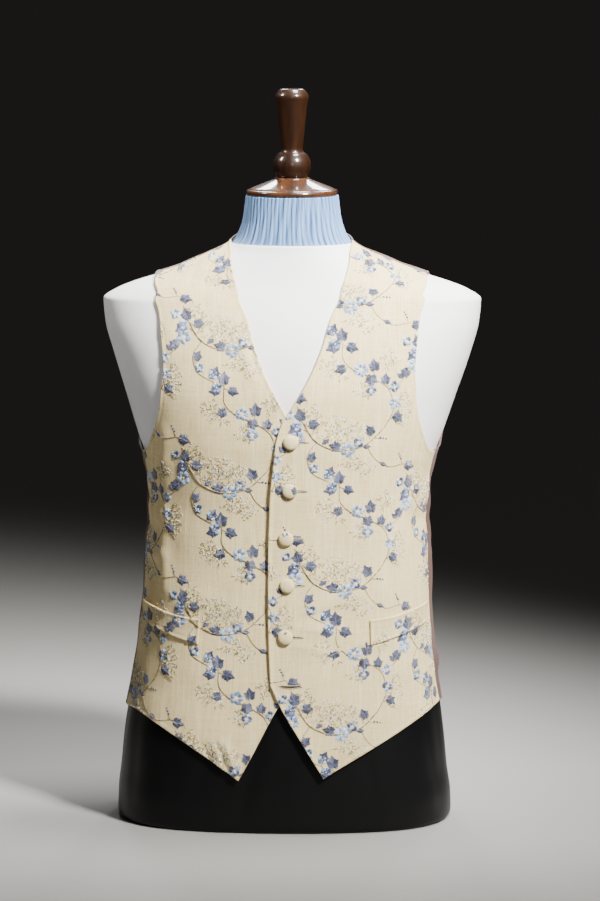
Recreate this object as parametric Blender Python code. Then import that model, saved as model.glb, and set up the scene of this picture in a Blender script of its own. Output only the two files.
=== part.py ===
"""An embroidered waistcoat on a limbless dress form.

Metres, +Z up. The centre front faces -Y and +X is the wearer's left. The origin is the middle of
the flat base. A place on the torso is a turn from the centre front, in degrees, and a height.
"""
import math

import bmesh
import bpy
import numpy as np

MM = 0.001

# Cloth and clearances
FRONT_CLOTH = 2.0 * MM
BACK_CLOTH = 1.6 * MM
FORM_CLEARANCE = 1.1 * MM
LAP_GAP = 0.6 * MM
TRIM_GAP = 0.4 * MM
PANEL_COLUMNS = 13
# Turn, in degrees, that each panel keeps to its own side of a seam
SEAM_TURN = 0.10

# The torso under the cloth. A ring's squareness lifts its corners above a plain ellipse.
# The sway carries a ring's middle towards +X: this form hangs a little to the wearer's right.
# height, half width, depth ahead, depth behind, sway (all mm), squareness
RINGS = (
    (0, 186.0, 121.0, 120.0, -8.5, 0.040),
    (26, 185.6, 122.5, 123.0, -8.6, 0.040),
    (56, 182.0, 122.0, 124.0, -9.0, 0.038),
    (92, 178.3, 120.0, 122.5, -8.9, 0.036),
    (124, 173.8, 117.5, 119.0, -8.5, 0.034),
    (156, 167.8, 115.5, 113.5, -7.8, 0.032),
    (205, 161.8, 113.0, 104.0, -6.9, 0.030),
    (240, 158.9, 112.0, 98.5, -6.0, 0.030),
    (281, 156.4, 112.0, 95.0, -4.8, 0.030),
    (328, 153.1, 114.0, 95.0, -3.8, 0.030),
    (345, 152.3, 115.0, 96.0, -3.4, 0.030),
    (376, 154.8, 117.5, 100.0, -2.9, 0.030),
    (400, 159.3, 119.5, 103.5, -2.5, 0.030),
    (428, 168.8, 121.5, 108.0, -1.9, 0.028),
    (470, 182.3, 120.5, 113.0, -0.9, 0.024),
    (513, 196.2, 112.0, 113.5, 0.0, 0.018),
    (549, 205.8, 99.0, 109.0, 0.0, 0.010),
    (573, 207.7, 87.0, 102.0, 0.0, 0.004),
    (584, 193.0, 81.0, 98.0, 0.0, 0.002),
    (592, 173.0, 76.5, 95.0, 0.0, 0.0),
    (600.5, 145.5, 72.5, 91.0, 0.0, 0.0),
    (608.5, 123.5, 69.0, 87.0, 0.0, 0.0),
    (617, 102.5, 65.5, 82.0, 0.0, 0.0),
    (623.5, 86.5, 63.0, 78.0, 0.0, 0.0),
    (628, 77.0, 61.5, 75.0, 0.0, 0.0),
    (634, 68.0, 60.0, 71.0, 0.0, 0.0),
    (646, 60.0, 58.0, 64.0, 0.0, 0.0),
    (662, 55.0, 55.5, 59.0, 0.0, 0.0),
    (690, 51.5, 52.5, 53.5, 0.0, 0.0),
)

# The waistcoat's edges, as turn in degrees and height in mm. Turns count towards the panel's own side.
CUTAWAY = {
    "left": ((13.1, 62.1), (7.2, 98.1), (0.3, 138.1), (-3.4, 163.0)),
    "right": ((12.4, 59.3), (8.1, 89.0), (3.7, 120.6), (1.0, 138.1), (-3.2, 156.0), (-7.0, 174.0)),
}
FRONT_EDGE = {
    "left": ((-3.4, 163.0), (-4.3, 202), (-5.3, 268), (-5.6, 327), (-5.4, 363), (-3.9, 410), (-3.3, 428)),
    "right": ((-7.0, 174.0), (-7.0, 205), (-6.6, 268), (-6.0, 330), (-5.2, 390), (-4.4, 428)),
}
V_NECK = (
    (-1.6, 447.4), (0.8, 461), (4.0, 480), (7.1, 502), (9.9, 529), (12.1, 557), (17.5, 587.5),
    (25.5, 602.3), (38.0, 616.7), (53.0, 626.5), (80.0, 636.2),
)
HEM_BOW = {"left": 16.0, "right": 23.5}
UNDERARM = (75.0, 409.5)
SIDE_SEAM_MIDDLE = (77.0, 192)
SIDE_SEAM = {
    "left": ((77.5, 131), SIDE_SEAM_MIDDLE, (76.5, 285), UNDERARM),
    "right": ((77.5, 124), SIDE_SEAM_MIDDLE, (76.5, 285), UNDERARM),
}
FRONT_ARMHOLE = (
    UNDERARM, (68.0, 411), (55.0, 433.8), (48.3, 457.3), (44.6, 482), (41.9, 508),
    (41.2, 534), (42.0, 559.5), (46.6, 582), (56.0, 590.5), (66.0, 595.6), (80.0, 599.3),
)
BACK_ARMHOLE_LOW = (UNDERARM, (84, 412), (98, 424), (111, 443), (121, 470), (128, 505), (132, 540))
BACK_ARMHOLE_HIGH = ((132, 540), (130.5, 570), (125, 586), (113, 595), (96, 599.3), (80, 599.3))
CENTRE_BACK = 180 - 2 * SEAM_TURN
BACK_NECK = ((CENTRE_BACK, 648), (160, 647.5), (140, 646), (118, 642.5), (98, 638.5), (80, 636.2))
BACK_HEM = 122.0
CENTRE_BACK_JOIN = 430.0

# How far the left front is lifted where it laps over the right one, and where the lift ends
LAP_FULL_ACROSS = 18 * MM
LAP_END_ACROSS = 62 * MM
# The fronts stand off the form a little towards the hem
HEM_FLARE = 1.6 * MM
HEM_FLARE_TOP = 170 * MM

# The largest soft folds: panel, first turn and height, last turn and height, half width, lift (mm)
FOLDS = (
    ("front_right", 13.5, 538, 10.8, 498, 8, 1.2),
    ("front_right", 20.0, 97, 15.0, 64, 8, 2.4),
    ("front_right", 58.0, 388, 79.0, 372, 11, 1.8),
    ("front_right", 55.0, 342, 79.0, 350, 12, 2.2),
    ("front_right", 60.0, 300, 79.0, 312, 12, 1.6),
    ("front_left", 13.0, 248, 27.0, 262, 10, 1.3),
    ("front_left", 12.0, 222, 24.0, 216, 9, 1.1),
    ("front_left", 58.0, 356, 78.0, 366, 12, 1.8),
    ("front_left", 62.0, 318, 78.0, 310, 11, 1.4),
    ("back_left", 82.0, 178, 96.0, 166, 11, 2.6),
    ("back_left", 84.0, 352, 118.0, 338, 13, 2.4),
    ("back_left", 92.0, 312, 140.0, 322, 14, 2.2),
    ("back_left", 120.0, 376, 165.0, 366, 14, 1.8),
    ("back_right", 84.0, 344, 122.0, 356, 13, 2.4),
    ("back_right", 88.0, 306, 132.0, 298, 14, 2.0),
    ("back_right", 116.0, 382, 168.0, 372, 14, 1.8),
)

# Pocket welts: turn in degrees, lower edge and upper edge in mm
WELT = ((31.5, 205.3, 233.2), (41.5, 210.5, 235.2), (53.0, 216.5, 239.5), (68.5, 222.5, 245.5))
WELT_TURN_SHIFT = {"left": 0.9, "right": -0.9}
WELT_CLOTH = 1.6 * MM

# Covered buttons: across and height in mm
BUTTONS = ((3.3, 429.4), (2.0, 376.8), (-2.3, 324.2), (-1.2, 272.8), (-3.1, 216.3))
# A button's section: radius and height in mm
BUTTON_PROFILE = ((7.2, 0.0), (8.2, 0.9), (8.3, 1.7), (7.5, 3.0), (5.3, 4.3), (2.8, 4.9), (1.0, 5.05))

# The form
FORM_SIDES = 36
FORM_HEIGHTS = (
    156, 190, 222, 254, 286, 316, 340, 362, 384, 406, 430, 456, 486, 516,
    542, 560, 573, 578, 584, 591, 598, 605, 612, 618, 624, 629, 634,
)
NECK_HEIGHTS = (634.3, 640, 648, 658, 672, 685.2)
LOWER_HEIGHTS = (9, 30, 56, 92, 124, 155.7)
# The base's rounded lower edge: height and inset in mm
BASE_EDGE = ((0.0, 4.5), (1.2, 2.2), (3.6, 0.7))

# Turned wood: radius and height in mm
TURNED_SIDES = 32
CAP_PROFILE = (
    (48.6, 685.5), (50.0, 686.6), (50.2, 689.6), (49.0, 691.4), (38.0, 695.6),
    (27.0, 700.0), (20.2, 703.2), (18.6, 704.6),
)
FINIAL_PROFILE = (
    (15.8, 704.9), (18.6, 708.6), (20.5, 714.0), (20.7, 719.0), (19.3, 724.6), (15.6, 730.2),
    (12.4, 732.8), (11.9, 735.0), (12.3, 740.0), (14.2, 760.0), (16.6, 780.0),
    (18.3, 791.0), (18.1, 794.6), (15.4, 798.8), (11.0, 801.0),
)

IVORY = (0.70, 0.63, 0.50)
SATIN = (0.42, 0.30, 0.27)
COVER = (0.80, 0.79, 0.77)
NECK_BLUE = (0.22, 0.38, 0.62)
BLACK = (0.006, 0.006, 0.007)
WOOD = (0.075, 0.025, 0.012)


def smooth_through(where, places, values):
    """Read a monotone cubic curve through the given places and values."""
    places = np.asarray(places, float)
    values = np.asarray(values, float)
    width = np.diff(places)
    rise = np.diff(values) / width
    slope = np.empty_like(values)
    slope[0], slope[-1] = rise[0], rise[-1]
    before = 2 * width[1:] + width[:-1]
    after = width[1:] + 2 * width[:-1]
    steady = rise[1:] * rise[:-1] > 0
    low = np.where(steady, rise[:-1], 1.0)
    high = np.where(steady, rise[1:], 1.0)
    slope[1:-1] = np.where(steady, (before + after) / (before / low + after / high), 0.0)
    span = np.clip(np.searchsorted(places, where, side="right") - 1, 0, len(places) - 2)
    step = width[span]
    part = np.clip((where - places[span]) / step, 0.0, 1.0)
    rest = 1.0 - part
    return (
        (1 + 2 * part) * rest**2 * values[span]
        + part * rest**2 * step * slope[span]
        + part**2 * (3 - 2 * part) * values[span + 1]
        - part**2 * rest * step * slope[span + 1]
    )


def smoothstep(value):
    """Ease from 0 to 1."""
    part = np.clip(value, 0.0, 1.0)
    return part * part * (3 - 2 * part)


RING_TABLE = np.array(RINGS) * np.array((MM, MM, MM, MM, MM, 1.0))
SIGN = {"left": 1.0, "right": -1.0}


def torso_point(turn, height):
    """A point of the torso: an ellipse squared a little by its third harmonic, at each height."""
    angle = np.radians(turn)
    half, ahead, behind, sway, square = (
        smooth_through(height, RING_TABLE[:, 0], RING_TABLE[:, column]) for column in range(1, 6)
    )
    across = (np.sin(angle) + square * np.sin(3 * angle)) / (1 - square)
    facing = (np.cos(angle) - square * np.cos(3 * angle)) / (1 - square)
    depth = np.where(facing > 0, ahead, behind)
    return np.stack([sway + half * across, -depth * facing, height + 0 * angle], axis=-1)


def off_torso(turn, height, lift):
    """A point at a distance out from the torso, along its normal."""
    small_turn, small_height = 0.01, 0.05 * MM
    round_it = torso_point(turn + small_turn, height) - torso_point(turn - small_turn, height)
    up_it = torso_point(turn, height + small_height) - torso_point(turn, height - small_height)
    normal = np.cross(round_it, up_it)
    normal /= np.linalg.norm(normal, axis=-1, keepdims=True)
    return torso_point(turn, height) + normal * np.asarray(lift)[..., None]


def even_along(edge, rows):
    """Spread rows + 1 places evenly along a smooth edge, as turns and heights."""
    table = np.array(edge, float) * np.array((1.0, MM))
    corners = torso_point(table[:, 0], table[:, 1])
    reach = np.concatenate([[0], np.cumsum(np.linalg.norm(np.diff(corners, axis=0), axis=1))])
    fine = np.linspace(0, reach[-1], 300)
    turn = smooth_through(fine, reach, table[:, 0])
    height = smooth_through(fine, reach, table[:, 1])
    steps = np.linalg.norm(np.diff(torso_point(turn, height), axis=0), axis=1)
    length = np.concatenate([[0], np.cumsum(steps)])
    stops = np.linspace(0, length[-1], rows + 1)
    return np.stack([np.interp(stops, length, turn), np.interp(stops, length, height)], axis=-1)


def panel_places(bands):
    """Fill a panel: each row runs straight, in turn and height, from its inner to its outer edge."""
    inner, outer = [], []
    for index, (inner_edge, outer_edge, rows) in enumerate(bands):
        first = 0 if index == 0 else 1
        inner.append(even_along(inner_edge, rows)[first:])
        outer.append(even_along(outer_edge, rows)[first:])
    inner, outer = np.concatenate(inner), np.concatenate(outer)
    share = np.linspace(0, 1, PANEL_COLUMNS + 1)[None, :, None]
    places = inner[:, None] * (1 - share) + outer[:, None] * share
    return places[..., 0], places[..., 1]


def front_places(side):
    """Turns and heights of a front, with its hem bowed up between the point and the side seam."""
    bands = (
        (CUTAWAY[side], SIDE_SEAM[side][:2], 6),
        (FRONT_EDGE[side], SIDE_SEAM[side][1:], 13),
        (FRONT_EDGE[side][-1:] + V_NECK, FRONT_ARMHOLE, 16),
    )
    turn, height = panel_places(bands)
    share = np.linspace(0, 1, PANEL_COLUMNS + 1)
    lowest_band = np.clip(1 - np.arange(len(turn)) / bands[0][2], 0, 1)
    height = height + lowest_band[:, None] * HEM_BOW[side] * MM * 4 * share * (1 - share)
    return SIGN[side] * (turn - SEAM_TURN), height


def back_places(side):
    """Turns and heights of half the back, from the centre-back seam to the side seam."""
    bands = (
        (((CENTRE_BACK, BACK_HEM), (CENTRE_BACK, CENTRE_BACK_JOIN)), SIDE_SEAM[side], 11),
        (((CENTRE_BACK, CENTRE_BACK_JOIN), BACK_NECK[0]), BACK_ARMHOLE_LOW, 9),
        (BACK_NECK, BACK_ARMHOLE_HIGH, 9),
    )
    turn, height = panel_places(bands)
    return SIGN[side] * (turn + SEAM_TURN), height


def fold_lift(panel, side, turn, height):
    """Add up a panel's folds: soft ridges along their runs, fading towards both ends."""
    total = np.zeros_like(turn)
    place = torso_point(turn, height)
    for name, turn_0, height_0, turn_1, height_1, half_width, lift in FOLDS:
        if name != panel + "_" + side:
            continue
        start = torso_point(np.float64(SIGN[side] * turn_0), np.float64(height_0 * MM))
        end = torso_point(np.float64(SIGN[side] * turn_1), np.float64(height_1 * MM))
        run = end - start
        part = np.clip(((place - start) @ run) / (run @ run), 0, 1)
        away = np.linalg.norm(place - start - part[..., None] * run, axis=-1)
        taper = 0.35 + 0.65 * np.sin(math.pi * (0.15 + 0.7 * part))
        total += lift * MM * taper * np.exp(-((away / (half_width * MM)) ** 2))
    return total


def front_lift(side, turn, height):
    """How far a front's inner face stands off the torso."""
    lift = fold_lift("front", side, turn, height)
    lift = lift + HEM_FLARE * smoothstep((HEM_FLARE_TOP - height) / (HEM_FLARE_TOP - 60 * MM))
    if side == "left":
        across = torso_point(turn, height)[..., 0]
        lap = smoothstep((LAP_END_ACROSS - across) / (LAP_END_ACROSS - LAP_FULL_ACROSS))
        lift = lift + (FRONT_CLOTH + LAP_GAP) * lap
    return lift


def add_solid(name, points, faces, material):
    """Make one closed object whose faces all point out."""
    mesh = bpy.data.meshes.new(name)
    mesh.from_pydata(points.tolist(), [], faces)
    shell = bmesh.new()
    shell.from_mesh(mesh)
    bmesh.ops.recalc_face_normals(shell, faces=shell.faces)
    shell.to_mesh(mesh)
    shell.free()
    mesh.shade_smooth()
    mesh.set_sharp_from_angle(angle=math.radians(38))
    mesh.materials.append(material)
    piece = bpy.data.objects.new(name, mesh)
    bpy.context.collection.objects.link(piece)
    return piece


def add_wall(name, inner, outer, material):
    """Close two grids of points into a wall with a rim round its edge."""
    rows, columns = inner.shape[:2]
    index = np.arange(rows * columns).reshape(rows, columns)
    quads = np.stack([index[:-1, :-1], index[:-1, 1:], index[1:, 1:], index[1:, :-1]], axis=-1)
    quads = quads.reshape(-1, 4)
    rim = np.concatenate([index[0, :-1], index[:-1, -1], index[-1, :0:-1], index[:0:-1, 0]])
    following = np.roll(rim, -1)
    depth = rows * columns
    sides = np.stack([rim, following, following + depth, rim + depth], axis=-1)
    faces = quads.tolist() + (quads[:, ::-1] + depth).tolist() + sides.tolist()
    points = np.concatenate([inner.reshape(-1, 3), outer.reshape(-1, 3)])
    return add_solid(name, points, faces, material)


def add_stack(name, rings, material):
    """Join rings of equal counts, from the lowest up, and close both ends."""
    count = rings.shape[1]
    index = np.arange(rings.shape[0] * count).reshape(rings.shape[:2])
    beside = np.roll(index, -1, axis=1)
    quads = np.stack([index[:-1], beside[:-1], beside[1:], index[1:]], axis=-1).reshape(-1, 4)
    faces = quads.tolist() + [index[0, ::-1].tolist(), index[-1].tolist()]
    return add_solid(name, rings.reshape(-1, 3), faces, material)


def turned_rings(profile, sides):
    """Turn a section of radii and heights about Z."""
    angle = np.linspace(0, 2 * math.pi, sides, endpoint=False)
    section = np.array(profile) * MM
    radius, height = section[:, :1], section[:, 1:]
    return np.stack([radius * np.sin(angle), -radius * np.cos(angle), height + 0 * angle], axis=-1)


def make_material(name, colour, roughness, sheen=0.0):
    """A plain Principled finish."""
    material = bpy.data.materials.new(name)
    material.use_nodes = True
    shader = material.node_tree.nodes["Principled BSDF"]
    shader.inputs["Base Color"].default_value = (*colour, 1.0)
    shader.inputs["Roughness"].default_value = roughness
    shader.inputs["Sheen Weight"].default_value = sheen
    return material


def make_front(side):
    """A front of the waistcoat."""
    turn, height = front_places(side)
    lift = front_lift(side, turn, height)
    inner = off_torso(turn, height, lift)
    outer = off_torso(turn, height, lift + FRONT_CLOTH)
    material = make_material("embroidered_cloth_" + side, IVORY, 0.85, 0.3)
    add_wall("front_" + side, inner, outer, material)


def make_back(side):
    """Half of the satin back."""
    turn, height = back_places(side)
    lift = fold_lift("back", side, turn, height)
    inner = off_torso(turn, height, lift)
    outer = off_torso(turn, height, lift + BACK_CLOTH)
    add_wall("back_" + side, inner, outer, make_material("back_satin_" + side, SATIN, 0.35))


def make_welt(side):
    """A pocket welt on a front, made from the front's own surface moved out."""
    table = np.array(WELT)
    start, end = table[0, 0], table[-1, 0]
    along = np.linspace(start, end, 11)[None, :]
    up = np.linspace(0, 1, 4)[:, None]
    lower = smooth_through(along, table[:, 0], table[:, 1] * MM)
    upper = smooth_through(along, table[:, 0], table[:, 2] * MM)
    turn = SIGN[side] * (along + WELT_TURN_SHIFT[side] + 0 * up)
    height = lower * (1 - up) + upper * up
    lift = front_lift(side, turn, height) + FRONT_CLOTH + TRIM_GAP
    inner = off_torso(turn, height, lift)
    outer = off_torso(turn, height, lift + WELT_CLOTH)
    material = make_material("welt_cloth_" + side, IVORY, 0.85, 0.3)
    add_wall("pocket_welt_" + side, inner, outer, material)


def make_button(number, across, height):
    """A domed covered button on the left front, its back just clear of the cloth."""
    height = height * MM
    turns = np.linspace(-30, 30, 241)
    turn = np.interp(across * MM, torso_point(turns, height + 0 * turns)[:, 0], turns)
    cloth = front_lift("left", np.array([turn]), np.array([height])) + FRONT_CLOTH
    seat = off_torso(turn, height, cloth[0] + TRIM_GAP)
    out = off_torso(turn, height, cloth[0] + TRIM_GAP + 1.0) - seat
    sideways = np.cross(out, (0.0, 0.0, 1.0))
    sideways /= np.linalg.norm(sideways)
    upwards = np.cross(sideways, out)
    angle = np.linspace(0, 2 * math.pi, 18, endpoint=False)[None, :, None]
    section = np.array(BUTTON_PROFILE) * MM
    radius, rise = section[:, 0, None, None], section[:, 1, None, None]
    rings = seat + radius * (np.cos(angle) * sideways + np.sin(angle) * upwards) + rise * out
    add_stack(f"button_{number}", rings, make_material(f"button_cloth_{number}", IVORY, 0.8, 0.3))


def form_rings(heights, clearance):
    """Rings of the form, in from the cloth by a clearance at each height, with flat ends."""
    turn = np.linspace(0, 360, FORM_SIDES, endpoint=False)[None, :]
    height = np.array(heights)[:, None] * MM
    inset = -np.asarray(clearance, float).reshape(-1, 1) * np.ones_like(turn)
    rings = off_torso(turn + 0 * height, height + 0 * turn, inset * np.ones_like(height))
    rings[[0, -1], :, 2] = height[[0, -1]]
    return rings


def make_form():
    """The covered torso, its neck, its black lower part, and the turned wood on top."""
    add_stack("form_body", form_rings(FORM_HEIGHTS, FORM_CLEARANCE), make_material("form_cover", COVER, 0.8, 0.2))
    add_stack("form_neck", form_rings(NECK_HEIGHTS, FORM_CLEARANCE), make_material("neck_cloth", NECK_BLUE, 0.7))
    edge = np.array(BASE_EDGE)
    heights = np.concatenate([edge[:, 0], LOWER_HEIGHTS])
    insets = np.concatenate([edge[:, 1] * MM, np.zeros(len(LOWER_HEIGHTS))]) + FORM_CLEARANCE
    add_stack("form_lower", form_rings(heights, insets), make_material("black_cloth", BLACK, 0.55))
    add_stack("neck_cap", turned_rings(CAP_PROFILE, TURNED_SIDES), make_material("cap_wood", WOOD, 0.25))
    add_stack("finial", turned_rings(FINIAL_PROFILE, TURNED_SIDES), make_material("finial_wood", WOOD, 0.25))


def main():
    """Build every piece in an empty scene."""
    for thing in list(bpy.data.objects):
        bpy.data.objects.remove(thing, do_unlink=True)
    for side in ("right", "left"):
        make_front(side)
        make_back(side)
        make_welt(side)
    for number, (across, height) in enumerate(BUTTONS, start=1):
        make_button(number, across, height)
    make_form()


main()
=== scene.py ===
import math

import bmesh
import bpy
import numpy as np
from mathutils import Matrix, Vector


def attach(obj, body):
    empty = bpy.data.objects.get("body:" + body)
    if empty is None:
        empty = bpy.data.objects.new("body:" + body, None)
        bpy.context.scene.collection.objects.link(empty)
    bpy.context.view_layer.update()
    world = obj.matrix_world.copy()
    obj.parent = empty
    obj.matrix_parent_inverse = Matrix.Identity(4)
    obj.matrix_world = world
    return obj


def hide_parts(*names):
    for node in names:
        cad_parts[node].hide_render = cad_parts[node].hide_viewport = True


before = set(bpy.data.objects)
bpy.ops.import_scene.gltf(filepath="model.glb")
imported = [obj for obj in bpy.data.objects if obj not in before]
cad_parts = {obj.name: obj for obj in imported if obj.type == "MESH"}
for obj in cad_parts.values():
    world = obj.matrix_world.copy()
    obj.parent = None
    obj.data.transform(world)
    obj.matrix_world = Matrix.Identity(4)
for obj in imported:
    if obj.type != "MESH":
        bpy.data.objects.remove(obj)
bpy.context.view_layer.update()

MM = 0.001
SIGN = {"left": 1.0, "right": -1.0}

# Cloth and clearances, as in the part's source
FRONT_CLOTH = 2.0 * MM
BACK_CLOTH = 1.6 * MM
WELT_CLOTH = 1.6 * MM
FORM_CLEARANCE = 1.1 * MM
LAP_GAP = 0.6 * MM
TRIM_GAP = 0.4 * MM
# Half the gap between the panels at a seam, in degrees of turn
SEAM_TURN = 0.10

# The torso: height, half width, depth ahead, depth behind, sway (all mm), squareness
RINGS = (
    (0, 186.0, 121.0, 120.0, -8.5, 0.040),
    (26, 185.6, 122.5, 123.0, -8.6, 0.040),
    (56, 182.0, 122.0, 124.0, -9.0, 0.038),
    (92, 178.3, 120.0, 122.5, -8.9, 0.036),
    (124, 173.8, 117.5, 119.0, -8.5, 0.034),
    (156, 167.8, 115.5, 113.5, -7.8, 0.032),
    (205, 161.8, 113.0, 104.0, -6.9, 0.030),
    (240, 158.9, 112.0, 98.5, -6.0, 0.030),
    (281, 156.4, 112.0, 95.0, -4.8, 0.030),
    (328, 153.1, 114.0, 95.0, -3.8, 0.030),
    (345, 152.3, 115.0, 96.0, -3.4, 0.030),
    (376, 154.8, 117.5, 100.0, -2.9, 0.030),
    (400, 159.3, 119.5, 103.5, -2.5, 0.030),
    (428, 168.8, 121.5, 108.0, -1.9, 0.028),
    (470, 182.3, 120.5, 113.0, -0.9, 0.024),
    (513, 196.2, 112.0, 113.5, 0.0, 0.018),
    (549, 205.8, 99.0, 109.0, 0.0, 0.010),
    (573, 207.7, 87.0, 102.0, 0.0, 0.004),
    (584, 193.0, 81.0, 98.0, 0.0, 0.002),
    (592, 173.0, 76.5, 95.0, 0.0, 0.0),
    (600.5, 145.5, 72.5, 91.0, 0.0, 0.0),
    (608.5, 123.5, 69.0, 87.0, 0.0, 0.0),
    (617, 102.5, 65.5, 82.0, 0.0, 0.0),
    (623.5, 86.5, 63.0, 78.0, 0.0, 0.0),
    (628, 77.0, 61.5, 75.0, 0.0, 0.0),
    (634, 68.0, 60.0, 71.0, 0.0, 0.0),
    (646, 60.0, 58.0, 64.0, 0.0, 0.0),
    (662, 55.0, 55.5, 59.0, 0.0, 0.0),
    (690, 51.5, 52.5, 53.5, 0.0, 0.0),
)

# The waistcoat's edges: turn in degrees towards the panel's own side, height in mm
CUTAWAY = {
    "left": ((13.1, 62.1), (7.2, 98.1), (0.3, 138.1), (-3.4, 163.0)),
    "right": ((12.4, 59.3), (8.1, 89.0), (3.7, 120.6), (1.0, 138.1), (-3.2, 156.0), (-7.0, 174.0)),
}
FRONT_EDGE = {
    "left": ((-3.4, 163.0), (-4.3, 202), (-5.3, 268), (-5.6, 327), (-5.4, 363), (-3.9, 410), (-3.3, 428)),
    "right": ((-7.0, 174.0), (-7.0, 205), (-6.6, 268), (-6.0, 330), (-5.2, 390), (-4.4, 428)),
}
V_NECK = (
    (-1.6, 447.4), (0.8, 461), (4.0, 480), (7.1, 502), (9.9, 529), (12.1, 557), (17.5, 587.5),
    (25.5, 602.3), (38.0, 616.7), (53.0, 626.5), (80.0, 636.2),
)
HEM_BOW = {"left": 16.0, "right": 23.5}
UNDERARM = (75.0, 409.5)
SIDE_SEAM_MIDDLE = (77.0, 192)
SIDE_SEAM = {
    "left": ((77.5, 131), SIDE_SEAM_MIDDLE, (76.5, 285), UNDERARM),
    "right": ((77.5, 124), SIDE_SEAM_MIDDLE, (76.5, 285), UNDERARM),
}
FRONT_ARMHOLE = (
    UNDERARM, (68.0, 411), (55.0, 433.8), (48.3, 457.3), (44.6, 482), (41.9, 508),
    (41.2, 534), (42.0, 559.5), (46.6, 582), (56.0, 590.5), (66.0, 595.6), (80.0, 599.3),
)
BACK_ARMHOLE_LOW = (UNDERARM, (84, 412), (98, 424), (111, 443), (121, 470), (128, 505), (132, 540))
BACK_ARMHOLE_HIGH = ((132, 540), (130.5, 570), (125, 586), (113, 595), (96, 599.3), (80, 599.3))
CENTRE_BACK = 180 - 2 * SEAM_TURN
BACK_NECK = ((CENTRE_BACK, 648), (160, 647.5), (140, 646), (118, 642.5), (98, 638.5), (80, 636.2))
BACK_HEM = 122.0
CENTRE_BACK_JOIN = 430.0
# How far across the left front lies fully on the right one, and where its lift off the form has ended
LAP_FULL_ACROSS = 18 * MM
LAP_END_ACROSS = 62 * MM
# The fronts flare out below the first of these heights, by this much at the second
HEM_FLARE_TOP = 170 * MM
HEM_FLARE_FOOT = 60 * MM
HEM_FLARE = 1.6 * MM
# The cloth swells round each button and dips under it: rise and half width of both
BUTTON_SWELL, SWELL_WIDTH = 0.45 * MM, 17 * MM
BUTTON_DIMPLE, DIMPLE_WIDTH = 0.8 * MM, 8 * MM
# The left front's edge stands up from the right front, up to the foot of the V
LEFT_EDGE_STAND = 1.5 * MM
LEFT_EDGE_TOP = 445 * MM

# The large folds of the solids, then the finer creases, which may also be troughs:
# panel, first turn and height, last turn and height, half width, lift (mm)
FOLDS = (
    ("front_right", 13.5, 538, 10.8, 498, 8, 1.2),
    ("front_right", 20.0, 97, 15.0, 64, 8, 2.4),
    ("front_right", 58.0, 388, 79.0, 372, 11, 1.8),
    ("front_right", 55.0, 342, 79.0, 350, 12, 2.2),
    ("front_right", 60.0, 300, 79.0, 312, 12, 1.6),
    ("front_left", 13.0, 248, 27.0, 262, 10, 1.3),
    ("front_left", 12.0, 222, 24.0, 216, 9, 1.1),
    ("front_left", 58.0, 356, 78.0, 366, 12, 1.8),
    ("front_left", 62.0, 318, 78.0, 310, 11, 1.4),
    ("back_left", 82.0, 178, 96.0, 166, 11, 2.6),
    ("back_left", 84.0, 352, 118.0, 338, 13, 2.4),
    ("back_left", 92.0, 312, 140.0, 322, 14, 2.2),
    ("back_left", 120.0, 376, 165.0, 366, 14, 1.8),
    ("back_right", 84.0, 344, 122.0, 356, 13, 2.4),
    ("back_right", 88.0, 306, 132.0, 298, 14, 2.0),
    ("back_right", 116.0, 382, 168.0, 372, 14, 1.8),
)
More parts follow.
